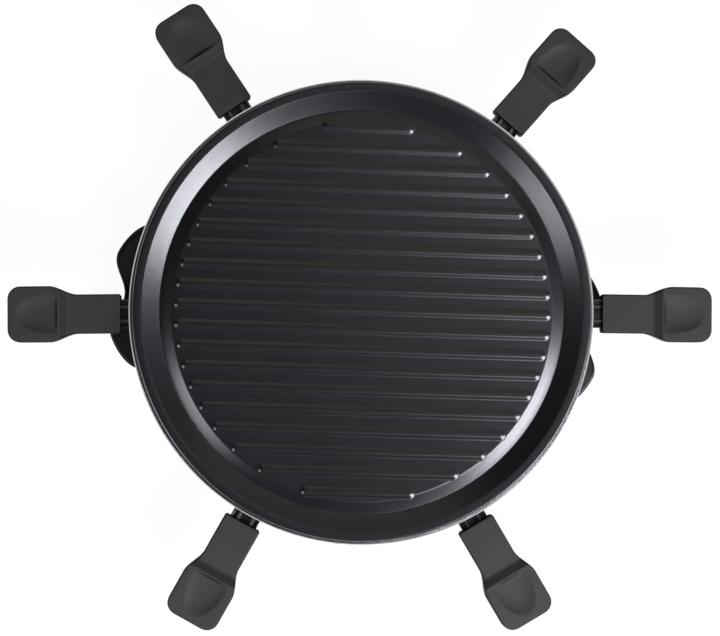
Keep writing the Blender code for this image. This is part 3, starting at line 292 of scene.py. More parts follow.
def finish(
    name,
    base,
    roughness=(0.4, 0.5),
    metallic=0.0,
    grain=(0.0006, 0.10),
    patch=0.03,
    light_share=1.25,
    wear_and_highlight=None,
    specks=None,
    coat=(0.0, 0.03),
    ior=1.5,
    gloss=0.5,
    painted_side_shade=None,
):
    """Make a material: base colour, roughness range, grain (size, strength), rubbed edges (on the stems also
    a painted highlight), specks, and painted shade on steep sides.
    """
    made = bpy.data.materials.new(name)
    made.use_nodes = True
    made.node_tree.nodes.clear()
    write = NodeWriter(made.node_tree)
    vector = write.add("ShaderNodeTexCoord").outputs["Object"]
    surface = place_group(write, GROUPS["grain"], vector, {"Grain Size": grain[0], "Patch Size": patch})
    patches = surface.outputs["Patches"]
    light = [min(channel * light_share, 1.0) for channel in base]
    tint = write.add("ShaderNodeMix", {0: patches}, {6: (*base, 1.0), 7: (*light, 1.0)}, data_type="RGBA")
    shade = tint.outputs[2]
    dull = write.add(
        "ShaderNodeMapRange",
        {"Value": patches},
        {"From Min": 0.3, "From Max": 0.7, "To Min": roughness[0], "To Max": roughness[1]},
    )
    # Rubbed edges get a lighter base colour. On the black steel this is real rubbing, and on the stems it is
    # partly rubbing and partly a painted highlight along edges and ribs.
    if wear_and_highlight:
        amount, bare_and_highlight_tone = wear_and_highlight
        wear_and_highlight_mask = place_group(write, GROUPS["wear_and_highlight"], vector, {"Amount": amount})
        worn_and_highlighted = write.add(
            "ShaderNodeMix", {0: wear_and_highlight_mask.outputs["Wear"], 6: shade}, {7: (*bare_and_highlight_tone, 1.0)}, data_type="RGBA"
        )
        shade = worn_and_highlighted.outputs[2]
    # Painted shade: on steep faces the base colour is scaled down, to the given share below SIDE_NORMAL. It
    # stands in for the shade that falls on the sides of a piece.
    if painted_side_shade is not None:
        normal = write.add("ShaderNodeSeparateXYZ", {0: write.add("ShaderNodeTexCoord").outputs["Normal"]})
        side_shade_mask = write.add(
            "ShaderNodeMapRange",
            {"Value": normal.outputs[2]},
            {"From Min": SIDE_NORMAL, "From Max": TOP_NORMAL, "To Min": painted_side_shade},
            interpolation_type="SMOOTHSTEP",
        )
        sides = write.add("ShaderNodeVectorMath", {0: shade, "Scale": side_shade_mask.outputs[0]}, operation="SCALE")
        shade = sides.outputs[0]
    if specks:
        spacing, share, speck = specks
        dots = place_group(write, GROUPS["specks"], vector, {"Speck Spacing": spacing, "Speck Share": share})
        dotted = write.add(
            "ShaderNodeMix", {0: dots.outputs["Specks"], 6: shade}, {7: (*speck, 1.0)}, data_type="RGBA"
        )
        shade = dotted.outputs[2]
    bump = write.add(
        "ShaderNodeBump", {"Height": surface.outputs["Grain"]}, {"Strength": grain[1], "Distance": grain[0]}
    )
    shader = write.add(
        "ShaderNodeBsdfPrincipled",
        {"Base Color": shade, "Roughness": dull.outputs[0], "Normal": bump.outputs["Normal"]},
        {
            "Metallic": metallic,
            "Coat Weight": coat[0],
            "Coat Roughness": coat[1],
            "IOR": ior,
            "Specular IOR Level": gloss,
        },
    )
    write.add("ShaderNodeOutputMaterial", {"Surface": shader.outputs[0]})
    LOOKS[name] = made


def make_finishes():
    """Build the shader groups and every material of the grill once."""
    if LOOKS:
        return
    GROUPS["grain"] = grain_group()
    GROUPS["specks"] = speckle_group()
    GROUPS["wear_and_highlight"] = wear_and_highlight_group()
    tones = bpy.context.scene.raclette_finishes
    finish(
        "plate_coating",
        tones.coating,
        roughness=(0.225, 0.265),
        grain=(0.0004, 0.12),
        patch=0.05,
        specks=(0.0012, 0.26, (0.024, 0.023, 0.034)),
        coat=(0.6, 0.5),
        ior=1.7,
    )
    finish(
        "pan_coating",
        tones.pan_coating,
        roughness=(0.30, 0.42),
        grain=(0.0005, 0.12),
        specks=(0.0012, 0.22, (0.045, 0.045, 0.050)),
    )
    # Painted shade: the handles' steep sides get a much darker base colour, which stands in for the dark
    # outline that shade gives their edges.
    finish(
        "handle_plastic",
        tones.handle,
        roughness=(0.58, 0.66),
        grain=(0.0004, 0.20),
        patch=0.02,
        light_share=1.1,
        gloss=0.2,
        painted_side_shade=0.12,
    )
    finish(
        "black_plastic", tones.black_plastic, roughness=(0.36, 0.46), grain=(0.0005, 0.16), patch=0.02
    )
    finish(
        "black_steel",
        tones.enamel,
        roughness=(0.26, 0.38),
        grain=(0.0008, 0.10),
        wear_and_highlight=(0.5, (0.22, 0.22, 0.23)),
    )
    finish("deck", tones.enamel, roughness=(0.36, 0.50), grain=(0.0007, 0.12))
    # The stems' light grey edges are partly real rubbing and partly a painted highlight. They stand in for
    # the thin bright lines of light along the stems' edges and ribs.
    finish(
        "stem_steel",
        (0.010, 0.010, 0.010),
        roughness=(0.16, 0.26),
        grain=(0.0007, 0.08),
        wear_and_highlight=(0.45, (0.40, 0.40, 0.41)),
    )
    finish(
        "zinc_sheet", tones.zinc, roughness=(0.36, 0.52), metallic=1.0, grain=(0.0010, 0.05), patch=0.012
    )
    finish(
        "element",
        (0.085, 0.078, 0.075),
        roughness=(0.42, 0.60),
        metallic=0.8,
        grain=(0.0008, 0.12),
        patch=0.02,
        light_share=1.8,
    )
    finish("steel", tones.steel, roughness=(0.18, 0.26), metallic=1.0, grain=(0.0006, 0.05))
    finish("rubber", (0.013, 0.013, 0.013), roughness=(0.72, 0.82), grain=(0.0005, 0.25))
    finish("ceramic", tones.ceramic, roughness=(0.50, 0.62), grain=(0.0005, 0.20))
    finish(
        "lamp",
        (0.62, 0.10, 0.02),
        roughness=(0.10, 0.16),
        grain=(0.0010, 0.02),
        patch=0.003,
        coat=(0.5, 0.03),
    )
    finish("white_print", (0.62, 0.62, 0.60), roughness=(0.45, 0.55))
    leads = (("brown_lead", (0.14, 0.055, 0.022)), ("blue_lead", (0.025, 0.10, 0.38)))
    for name, tone in (*leads, ("green_lead", (0.10, 0.30, 0.04))):
        finish(name, tone, roughness=(0.42, 0.50))


# Mesh tools


SAME_SPOT = 0.000002

def to_object(name, bm, look, smooth_angle=32.0):
    mesh = bpy.data.meshes.new(name)
    bm.to_mesh(mesh)
    bm.free()
    mesh.materials.append(LOOKS[look])
    mesh.shade_smooth()
    mesh.set_sharp_from_angle(angle=math.radians(smooth_angle))
    made = bpy.data.objects.new(name, mesh)
    bpy.context.scene.collection.objects.link(made)
    return made


def settle(piece, body, slot, *nodes):
    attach(piece, body)
    if nodes:
        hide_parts(*nodes)


def bake(piece):
    """Turn the evaluated piece into a plain mesh and drop its modifiers."""
    depsgraph = bpy.context.evaluated_depsgraph_get()
    baked = bpy.data.meshes.new_from_object(piece.evaluated_get(depsgraph))
    baked.name = piece.name
    piece.modifiers.clear()
    piece.data = baked


def body_of(node):
    for body, nodes in frame["record"]["behaviour"]["bodies"].items():
        if node in nodes:
            return body
    raise ValueError(f"no body holds {node}")


def slot_of(node):
    for entry in frame["record"]["subparts"]:
        if entry["node"] == node:
            return entry["material_slot"]
    raise ValueError(f"the record has no node {node}")


def paint(*nodes):
    """Give CAD nodes that keep their shape the finish of their slot."""
    for node in nodes:
        piece = frame["nodes"][node]
        piece.data.materials.clear()
        piece.data.materials.append(LOOKS[slot_of(node)])


def set_round(bm, facets, beyond, cuts=3):
    """Divide the level edges beyond a radius and move the new points out to the true circle."""
    half = math.pi / facets
    chords = []
    for edge in bm.edges:
        start, end = (vert.co for vert in edge.verts)
        near, far = start.xy.length, end.xy.length
        level = abs(near - far) < SAME_SPOT and abs(start.z - end.z) < SAME_SPOT
        if level and min(near, far) > beyond:
            chords.append(edge)
    made = bmesh.ops.subdivide_edges(bm, edges=chords, cuts=cuts, use_grid_fill=True)
    for vert in {item for item in made["geom_inner"] if isinstance(item, bmesh.types.BMVert)}:
        off = math.atan2(vert.co.y, vert.co.x) % (2 * half) - half
        vert.co.xy *= math.cos(off) / math.cos(half)


def softened(node, edge, segments=2, facets=0, beyond=0.0):
    """A copy of a CAD node, merged, with its edges rounded and, with facets, its outer walls set round."""
    bm = bmesh.new()
    bm.from_mesh(frame["nodes"][node].data)
    bmesh.ops.remove_doubles(bm, verts=bm.verts, dist=SAME_SPOT)
    bmesh.ops.dissolve_limit(bm, angle_limit=math.radians(0.4), verts=bm.verts, edges=bm.edges)
    if facets:
        set_round(bm, facets, beyond)
    bmesh.ops.recalc_face_normals(bm, faces=bm.faces)
    piece = to_object(f"{node}_dressed", bm, slot_of(node))
    bevel = piece.modifiers.new("edges", "BEVEL")
    bevel.width = edge
    bevel.segments = segments
    bevel.limit_method = "ANGLE"
    bevel.angle_limit = math.radians(30)
    bake(piece)
    piece.data.shade_smooth()
    piece.data.set_sharp_from_angle(angle=math.radians(40))
    settle(piece, body_of(node), slot_of(node), node)


def lathe(profile, steps):
    """Spin a profile of (radius, height), which starts and ends on the axis, about Z."""
    bm = bmesh.new()
    rows = []
    for radius, height in profile:
        if radius < 1e-7:
            rows.append([bm.verts.new((0, 0, height))])
            continue
        row = []
        for step in range(steps):
            angle = math.tau * step / steps
            row.append(bm.verts.new((radius * math.cos(angle), radius * math.sin(angle), height)))
        rows.append(row)
    for low, high in zip(rows, rows[1:]):
        for i in range(steps):
            j = (i + 1) % steps
            if len(low) == 1:
                bm.faces.new((low[0], high[i], high[j]))
            elif len(high) == 1:
                bm.faces.new((low[i], high[0], low[j]))
            else:
                bm.faces.new((low[i], high[i], high[j], low[j]))
    bmesh.ops.recalc_face_normals(bm, faces=bm.faces)
    return bm


def loft(loops):
    """Skin closed loops that have equally many points, with both ends filled."""
    bm = bmesh.new()
    rows = [[bm.verts.new(point) for point in loop] for loop in loops]
    for low, high in zip(rows, rows[1:]):
        for i in range(len(low)):
            j = (i + 1) % len(low)
            bm.faces.new((low[i], low[j], high[j], high[i]))
    bm.faces.new(rows[0][::-1])
    bm.faces.new(rows[-1])
    bmesh.ops.recalc_face_normals(bm, faces=bm.faces)
    return bm


def polar(radius, bearing):
    angle = math.radians(bearing)
    return radius * math.cos(angle), radius * math.sin(angle)


def ease(value):
    """A smooth step from 0 to 1."""
    value = min(max(value, 0.0), 1.0)
    return value * value * (3 - 2 * value)


def fillet(before, corner, after, radius, steps=5):
    """Points of an arc that rounds one corner of a profile."""
    corner = Vector(corner)
    back = (Vector(before) - corner).normalized()
    ahead = (Vector(after) - corner).normalized()
    half = back.angle(ahead) / 2
    reach = radius / math.tan(half)
    centre = corner + (back + ahead).normalized() * radius / math.sin(half)
    start = corner + back * reach - centre
    end = corner + ahead * reach - centre
    points = []
    for step in range(steps + 1):
        share = step / steps
        spoke = start.slerp(end, share).normalized() * radius
        points.append(tuple(centre + spoke))
    return points


def rounded_profile(corners):
    """A profile from (radius, height, rounding) corners; a rounding of 0 keeps the corner."""
    points = []
    for i, (radius, height, rounding) in enumerate(corners):
        if rounding == 0 or i in (0, len(corners) - 1):
            points.append((radius, height))
            continue
        points += fillet(corners[i - 1][:2], (radius, height), corners[i + 1][:2], rounding)
    return points


# Geometry node trees


def rib_tree():
    """Repeats one rib across the plate and draws its ends in to a circle."""
    tree = bpy.data.node_groups.new("Ribs across a plate", "GeometryNodeTree")
    group_sockets(
        tree,
        [
            ("Rib", "NodeSocketGeometry", None),
            ("Count", "NodeSocketInt", 19),
            ("Pitch", "NodeSocketFloat", 0.01325),
            ("Shift", "NodeSocketFloat", 0.0),
            ("Circle Radius", "NodeSocketFloat", 0.123),
            ("Rib Half Length", "NodeSocketFloat", 0.1),
            ("Material", "NodeSocketMaterial", None),
        ],
        [("Ribs", "NodeSocketGeometry")],
    )
    write = NodeWriter(tree)
    given = write.add("NodeGroupInput").outputs
    last = write.compute("SUBTRACT", given["Count"], 1.0)
    span = write.compute("MULTIPLY", last, given["Pitch"])
    start_y = write.compute("MULTIPLY_ADD", span, -0.5, given["Shift"])
    start = write.add("ShaderNodeCombineXYZ", {"Y": start_y})
    offset = write.add("ShaderNodeCombineXYZ", {"Y": given["Pitch"]})
    line = write.add(
        "GeometryNodeMeshLine",
        {"Count": given["Count"], "Start Location": start.outputs[0], "Offset": offset.outputs[0]},
    )
    here = write.add("GeometryNodeInputPosition")
    here_xyz = write.add("ShaderNodeSeparateXYZ", {0: here.outputs[0]})
    store = write.add(
        "GeometryNodeStoreNamedAttribute",
        {"Geometry": line.outputs[0], "Value": here_xyz.outputs["Y"]},
        {"Name": "rib_place"},
        data_type="FLOAT",
        domain="POINT",
    )
    placed = write.add("GeometryNodeInstanceOnPoints", {"Points": store.outputs[0], "Instance": given["Rib"]})
    real = write.add("GeometryNodeRealizeInstances", {0: placed.outputs[0]})
    place = write.add("GeometryNodeInputNamedAttribute", values={"Name": "rib_place"}, data_type="FLOAT")
    square = write.compute("MULTIPLY", place.outputs[0], place.outputs[0])
    circle = write.compute("MULTIPLY", given["Circle Radius"], given["Circle Radius"])
    reach = write.compute("SQRT", write.compute("SUBTRACT", circle, square))
    longer = write.compute("SUBTRACT", reach, given["Rib Half Length"])
    spot = write.add("GeometryNodeInputPosition")
    spot_xyz = write.add("ShaderNodeSeparateXYZ", {0: spot.outputs[0]})
    side = write.compute("SIGN", spot_xyz.outputs["X"])
    move = write.add("ShaderNodeCombineXYZ", {"X": write.compute("MULTIPLY", side, longer)})
    moved = write.add("GeometryNodeSetPosition", {"Geometry": real.outputs[0], "Offset": move.outputs[0]})
    clean = write.add("GeometryNodeRemoveAttribute", {"Geometry": moved.outputs[0]}, {"Name": "rib_place"})
    coated = write.add(
        "GeometryNodeSetMaterial", {"Geometry": clean.outputs[0], "Material": given["Material"]}
    )
    write.add("NodeGroupOutput", {0: coated.outputs[0]})
    return tree


def round_tree():
    """Repeats one mark or ridge round an arc about Z, each turned outwards."""
    tree = bpy.data.node_groups.new("Round an arc", "GeometryNodeTree")
    group_sockets(
        tree,
        [
            ("Piece", "NodeSocketGeometry", None),
            ("Count", "NodeSocketInt", 12),
            ("Radius", "NodeSocketFloat", 0.01),
            ("Start Angle", "NodeSocketFloat", 0.0),
            ("Step Angle", "NodeSocketFloat", 0.5),
            ("Material", "NodeSocketMaterial", None),
        ],
        [("Pieces", "NodeSocketGeometry")],
    )
    write = NodeWriter(tree)
    given = write.add("NodeGroupInput").outputs
    line = write.add("GeometryNodeMeshLine", {"Count": given["Count"]})
    index = write.add("GeometryNodeInputIndex")
    angle = write.compute("MULTIPLY_ADD", index.outputs[0], given["Step Angle"], given["Start Angle"])
    turn = write.add("ShaderNodeCombineXYZ", {"Z": angle})
    x = write.compute("MULTIPLY", write.compute("COSINE", angle), given["Radius"])
    y = write.compute("MULTIPLY", write.compute("SINE", angle), given["Radius"])
    spot = write.add("ShaderNodeCombineXYZ", {"X": x, "Y": y})
    points = write.add("GeometryNodeSetPosition", {"Geometry": line.outputs[0], "Position": spot.outputs[0]})
    placed = write.add(
        "GeometryNodeInstanceOnPoints",
        {"Points": points.outputs[0], "Instance": given["Piece"], "Rotation": turn.outputs[0]},
    )
    real = write.add("GeometryNodeRealizeInstances", {0: placed.outputs[0]})
    coated = write.add(
        "GeometryNodeSetMaterial", {"Geometry": real.outputs[0], "Material": given["Material"]}
    )
    write.add("NodeGroupOutput", {0: coated.outputs[0]})
    return tree


def run_tree(piece, tree, values):
    """Put a geometry tree on a piece with values by input name, and bake the result."""
    change = piece.modifiers.new(tree.name, "NODES")
    change.node_group = tree
    identifiers = {}
    for item in tree.interface.items_tree:
        if getattr(item, "in_out", "") == "INPUT":
            identifiers[item.name] = item.identifier
    for name, value in values.items():
        change[identifiers[name]] = value
    bake(piece)


# Grill plate


PLATE_RADIUS = 0.150
PLATE_SHEET = 0.0028
FIELD_DROP = 0.0045
GUTTER_DROP = 0.0090
RIB_START = 0.1


def plate_corners():
    """The plate's outline from the field's middle, over gutter and rim, and back underneath."""
    radius, top = PLATE_RADIUS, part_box("grill_plate")[1][2]
    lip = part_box("heater_ring")[1][2] + SEAT_GAP
    gutter, field = top - GUTTER_DROP, top - FIELD_DROP
    wall_top, wall_foot, field_edge = radius - 0.0061, radius - 0.0172, radius - 0.0253
    lip_inside, groove, groove_end = radius - 0.0021, radius - 0.0026, radius - 0.0065
    return [
        (0.0, field, 0),
        (field_edge - 0.0347, field, 0),
        (field_edge, field, 0.0040),
        (wall_foot, gutter, 0.0011),
        (wall_top, top - 0.0005, 0.0010),
        (radius, top, 0.0014),
        (radius, lip, 0.0007),
        (lip_inside, lip, 0.0007),
        (groove, top - 0.0036, 0),
        (groove_end, top - 0.0034, 0),
        (wall_foot, gutter - PLATE_SHEET * 1.25, 0),
        (field_edge - 0.0006, field - PLATE_SHEET, 0),
        (0.0, field - PLATE_SHEET, 0),
    ]


def rib_mesh(sizes, level, half_length):
    """One rib with round ends: its section runs from the crown down into the field."""
    half, height = sizes.rib_half, sizes.rib_height
    crown_share, foot_share, sunk_share, root_share = 0.12, 1.03, 0.02, 0.60
    slope_steps, end_steps = 14, 20
    section = []
    for step in range(slope_steps + 1):
        out = step / slope_steps
        run = math.pi * max(out - crown_share, 0.0) / (1 - crown_share)
        section.append((out * foot_share, (1 + sunk_share) * (1 + math.cos(run)) / 2 - sunk_share))
    section += [(foot_share, -root_share), (0.0, -root_share)]
    bm = bmesh.new()
    spokes = []
    for end in (1, -1):
        for step in range(end_steps + 1):
            angle = math.pi * step / end_steps - math.pi / 2 + (0 if end > 0 else math.pi)
            spokes.append((end * half_length, math.cos(angle), math.sin(angle)))
    rows = []
    for out, rise in section:
        z = level + height * rise
        if out == 0:
            right = bm.verts.new((half_length, 0, z))
            left = bm.verts.new((-half_length, 0, z))
            rows.append([right] * (end_steps + 1) + [left] * (end_steps + 1))
            continue
        rows.append([bm.verts.new((x + dx * out * half, dy * out * half, z)) for x, dx, dy in spokes])
    for high, low in zip(rows, rows[1:]):
        for i in range(len(spokes)):
            j = (i + 1) % len(spokes)
            corners = []
            for vert in (high[i], low[i], low[j], high[j]):
                if vert not in corners:
                    corners.append(vert)
            if len(corners) > 2:
                bm.faces.new(corners)
    bmesh.ops.recalc_face_normals(bm, faces=bm.faces)
    return bm


def turn_mesh(piece, matrix):
    """Place a piece by its mesh, so that its object stays at the origin."""
    piece.data.transform(matrix)
    piece.data.update()


class RACLETTE_OT_grill_plate(bpy.types.Operator):
    """Make the coated grill plate with its ribs"""

    bl_idname = "raclette.grill_plate"
    bl_label = "Grill plate"

    def execute(self, context):
        make_finishes()
        sizes = context.scene.raclette_plate
        turned = lathe(rounded_profile(plate_corners()), 256)
        plate = to_object("grill_plate_coated", turned, "plate_coating", 50)
        settle(plate, "plate", "plate_coating", "grill_plate")
        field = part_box("grill_plate")[1][2] - FIELD_DROP
        ribs = to_object("grill_plate_ribs", rib_mesh(sizes, field, RIB_START), "plate_coating", 60)
        run_tree(
            ribs,
            rib_tree(),
            {
                "Count": sizes.rib_count,
                "Pitch": sizes.rib_pitch,
                "Shift": sizes.rib_shift,
                "Circle Radius": sizes.rib_circle,
                "Rib Half Length": RIB_START + sizes.rib_half,
                "Material": LOOKS["plate_coating"],
            },
        )
        turn_mesh(ribs, Matrix.Rotation(math.radians(PLATE_TURN), 4, "Z"))
        settle(ribs, "plate", "plate_coating", "grill_plate")
        return {"FINISHED"}


# Heater and base


RING_FACETS = 56


class RACLETTE_OT_heater(bpy.types.Operator):
    """Make the heater ring, the element and what carries them"""

    bl_idname = "raclette.heater"
    bl_label = "Heater ring and element"

    def execute(self, context):
        make_finishes()
        edges = context.scene.raclette_trim
        softened("heater_ring", edges.sheet_edge, facets=RING_FACETS, beyond=PLATE_RADIUS)
        for name in ("upright_1", "upright_2", "upright_3", "upright_5", "upright_6", "wired_upright"):
            softened(name, edges.sheet_edge)
        softened("element_terminal_block", edges.moulded_edge)
        for number in (1, 2, 3):
            softened(f"element_bracket_{number}", edges.sheet_edge)
        paint("heating_element")
        return {"FINISHED"}


class RACLETTE_OT_base(bpy.types.Operator):
    """Make the base tray, its deck, hub, cover and feet"""

    bl_idname = "raclette.base"
    bl_label = "Base"

    def execute(self, context):
        make_finishes()
        edges = context.scene.raclette_trim
        softened("base_tray", edges.moulded_edge)
        softened("deck_hub", edges.moulded_edge, 3)
        for number in range(1, 5):
            softened(f"foot_{number}", edges.moulded_edge, 3)
            paint(f"foot_screw_{number}")
        paint("pan_deck", "base_cover", "hub_screw")
        return {"FINISHED"}


# Side grips


TRAY_RADIUS = 0.151
TRAY_TAPER = 0.008
GRIP_HALF_ANGLE = 19.0
GRIP_REACH = 0.0202
GRIP_DIP = 0.0129
GRIP_DIP_SHARE = 0.53
GRIP_LEAST = 0.0018


def grip_outline(level, inset, outer_steps=56, inner_steps=12):
    """The outline of the right-hand grip at a level, before the stand's turn."""
    low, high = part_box("base_tray")
    top_radius = (high[0] - low[0]) / 2
    rise = (level - low[2]) / (high[2] - low[2])
    wall = TRAY_RADIUS - TRAY_TAPER * (1 - rise) + SEAT_GAP + inset
    wall = min(wall, top_radius + inset)
    half_angle = GRIP_HALF_ANGLE - math.degrees(inset / wall)
    outline = []
    for step in range(outer_steps + 1):
        share = 2 * step / outer_steps - 1
        reach = GRIP_REACH * (1 - share**2) ** 0.6
        if abs(share) < GRIP_DIP_SHARE:
            reach -= GRIP_DIP * (1 + math.cos(math.pi * share / GRIP_DIP_SHARE)) / 2
        reach = max(reach - 2 * inset, 0) + GRIP_LEAST
        outline.append(polar(wall + reach, half_angle * share))
    for step in range(1, inner_steps):
        share = 1 - 2 * step / inner_steps
        outline.append(polar(wall, half_angle * share))
    return outline


def grip_levels(bottom, top):
    """The grip's (level, inset) steps: hollow under its top, up the outside, and over the stepped lip."""
    return [
        (top - 0.0025, 0.0025),
        (bottom, 0.0025),
        (bottom, 0.0004),
        (bottom + 0.0004, 0.0),
        (top - 0.0030, 0.0),
        (top - 0.0019, 0.0002),
        (top - 0.0016, 0.0007),
        (top - 0.0016, 0.0010),
        (top - 0.0006, 0.0013),
        (top - 0.0004, 0.0018),
        (top - 0.0010, 0.0021),
        (top - 0.0009, 0.0024),
        (top - 0.0001, 0.0028),
        (top, 0.0036),
    ]


class RACLETTE_OT_grips(bpy.types.Operator):
    """Make the two side grips with their stepped lips"""

    bl_idname = "raclette.grips"
    bl_label = "Side grips"

    def execute(self, context):
        make_finishes()
        for name, turn in (("right_grip", 0.0), ("left_grip", 180.0)):
            low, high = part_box(name)
            levels = grip_levels(low[2], high[2])
            loops = [[(x, y, level) for x, y in grip_outline(level, inset)] for level, inset in levels]
            grip = to_object(f"{name}_moulded", loft(loops), "black_plastic", 35)
            turn_mesh(grip, Matrix.Rotation(math.radians(STAND_TURN + turn), 4, "Z"))
            settle(grip, body_of(name), "black_plastic", name)
        return {"FINISHED"}


# Pans, stems and handles


class RACLETTE_OT_pans(bpy.types.Operator):
    """Make the pans and their pressed stems"""

    bl_idname = "raclette.pans"
    bl_label = "Pans and stems"

    def execute(self, context):
        make_finishes()
        edges = context.scene.raclette_trim
        for number in PAN_NUMBERS:
            softened(f"pan_{number}", edges.sheet_edge)
            softened(f"pan_stem_{number}", edges.sheet_edge / 2)
        return {"FINISHED"}


HANDLE_LENGTH = 0.0756
HANDLE_RIDGE = 0.0418
HANDLE_CORNER = 0.0084
HANDLE_BASE_EDGE = 0.0010
HANDLE_UNDER_EDGE = 0.0014
HANDLE_UNDER_RISE = 0.0020
NECK_HALF, PAD_HALF = 0.0132, 0.0188
FLARE_START, FLARE_END = 0.0290, 0.0480
NECK_DROP, NECK_FALL = 0.0032, 0.0006
RAMP_FOOT, RAMP_STRAIGHT, RAMP_SHOULDER = 0.0345, 0.0368, 0.0412
RAMP_RISE = 0.0038
PAD_STEP, PAD_FALL = 0.0003, 0.0015
BOWL_HALF = 0.0130
BOWL_LIP, BOWL_DEPTH = 0.0010, 0.0027
BOWL_POWER = 2.6
BOWL_MIDDLE_SHARE, BOWL_END_SHARE = 0.45, 0.39


def arc_drop(radius, past):
    """How far a quarter-round of a radius has dropped at a distance past its start."""
    return radius - math.sqrt(max(radius**2 - past**2, 0.0))


def handle_half(place):
    """Half a handle's width at a distance from its inner end."""
    half = NECK_HALF + (PAD_HALF - NECK_HALF) * ease((place - FLARE_START) / (FLARE_END - FLARE_START))
    half -= arc_drop(HANDLE_CORNER, max(place - (HANDLE_LENGTH - HANDLE_CORNER), 0.0))
    return half - max(HANDLE_BASE_EDGE - place, 0.0)


def ramp_share(place):
    """How far up the ramp before the ridge a place is: 0 on the neck, 1 on the ridge."""
    bend = RAMP_STRAIGHT - RAMP_FOOT
    straight = RAMP_SHOULDER - RAMP_STRAIGHT
    last = HANDLE_RIDGE - RAMP_SHOULDER
    climb = min(max(place - RAMP_FOOT, 0.0), bend) ** 2 / bend / 2
    climb += min(max(place - RAMP_STRAIGHT, 0.0), straight)
    end = min(max(place - RAMP_SHOULDER, 0.0), last)
    climb += end - end**2 / last / 2
    return climb / ((bend + last) / 2 + straight)


def bowl_depth(past):
    """The thumb bowl's depth along its middle, from the ridge (0) to the handle's end (1)."""
    if past < BOWL_MIDDLE_SHARE:
        rest = 1 - (1 - past / BOWL_MIDDLE_SHARE) ** 2
        return BOWL_LIP * ease(past * 13) + (BOWL_DEPTH - BOWL_LIP) * rest
    return BOWL_DEPTH * max(1 - ((past - BOWL_MIDDLE_SHARE) / BOWL_END_SHARE) ** 2, 0.0)


def handle_top(place, across, top):
    """The upper surface's level: a flat neck, a ramp up to a ridge, and a thumb bowl behind it."""
    level = top - NECK_DROP - NECK_FALL * min(place / HANDLE_RIDGE, 1.0) ** 2 + RAMP_RISE * ramp_share(place)
    past = (place - HANDLE_RIDGE) / (HANDLE_LENGTH - HANDLE_RIDGE)
    if past > 0:
        level -= PAD_STEP * ease(past * 16) + PAD_FALL * past**2
        reach = BOWL_HALF * math.sqrt(max(1 - (past * 1.18) ** BOWL_POWER, 0.0004))
        level -= bowl_depth(past) * max(1 - (abs(across) / reach) ** BOWL_POWER, 0.0)
    return level


def handle_places():
    """Where a handle's cross-sections lie along it, closer together where its shape bends."""
    places = [0.0, 0.0004, HANDLE_BASE_EDGE, 0.004, 0.010, 0.018, 0.026]
    for start, gap, count in ((FLARE_START, 0.0013, 5), (0.0350, 0.0005, 21), (0.0460, 0.0012, 18)):
        places += [start + gap * step for step in range(count)]
    corner = HANDLE_LENGTH - HANDLE_CORNER
    places += [corner + HANDLE_CORNER * math.sin(math.pi / 2 * step / 9) for step in range(1, 9)]
    return [*places, HANDLE_LENGTH - 0.00002]


def handle_loops(low, high, edge):
    """Cross-sections of a handle in its own frame, X along it from its inner end."""
    top_steps, edge_steps, under_steps = 40, 6, 4
    loops = []
    for place in handle_places():
        half = handle_half(place)
        soft = min(edge, half * 0.45)
        dip = arc_drop(edge, max(place - (HANDLE_LENGTH - edge), 0.0))
        dip += arc_drop(HANDLE_BASE_EDGE, max(HANDLE_BASE_EDGE - place, 0.0))
        flat = half - soft
        loop = []
        for step in range(top_steps + 1):
            across = flat * (2 * step / top_steps - 1)
            loop.append((place, across, handle_top(place, across, high) - dip))
        edge_level = handle_top(place, flat, high) - dip
        right = []
        for step in range(1, edge_steps + 1):
            angle = math.pi / 2 * step / edge_steps
            right.append((flat + soft * math.sin(angle), edge_level - soft * (1 - math.cos(angle))))
        under = low + HANDLE_UNDER_RISE * (place / HANDLE_LENGTH) ** 2
        foot = min(soft, HANDLE_UNDER_EDGE)
        for step in range(under_steps + 1):
            angle = math.pi / 2 * step / under_steps
            rise = foot * (1 - math.sin(angle)) + dip / 2
            right.append((half - foot * (1 - math.cos(angle)), under + rise))
        loop += [(place, y, z) for y, z in right]
        loop += [(place, -y, z) for y, z in reversed(right)]
        loops.append(loop)
    return loops


def pan_start(number):
    """Where a handle begins, worked out from the CAD handle's mesh."""
    yaw = PAN_YAWS[number - 1]
    along = Vector(polar(1.0, yaw))
    across = Vector(polar(1.0, yaw + 90))
    spots = [vert.co.xy for vert in frame["nodes"][f"pan_handle_{number}"].data.vertices]
    inner = min(spot.dot(along) for spot in spots)
    sides = [spot.dot(across) for spot in spots]
    middle = (min(sides) + max(sides)) / 2
    return along * inner + across * middle


class RACLETTE_OT_handles(bpy.types.Operator):
    """Make the moulded pan handles with ridge and thumb scoop"""

    bl_idname = "raclette.handles"
    bl_label = "Pan handles"

    def execute(self, context):
        make_finishes()
        edge = context.scene.raclette_trim.handle_edge
        for number in PAN_NUMBERS:
            name = f"pan_handle_{number}"
            low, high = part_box(name)
            loops = handle_loops(low[2], high[2], edge)
            handle = to_object(f"{name}_moulded", loft(loops), "handle_plastic", 60)
            place = Matrix.Translation((*pan_start(number), 0.0))
            turn = Matrix.Rotation(math.radians(PAN_YAWS[number - 1]), 4, "Z")
            turn_mesh(handle, place @ turn)
            settle(handle, body_of(name), "handle_plastic", name)
        return {"FINISHED"}


# Controls


DIAL_SWEEP = 270.0
MARK_LENGTH = 0.0019
RIDGE_CIRCLE = 0.0114
POINTER_START = -0.0088
KNOB_BACK, KNOB_FACE, PANEL_FACE = 0.1474, 0.1574, 0.14603


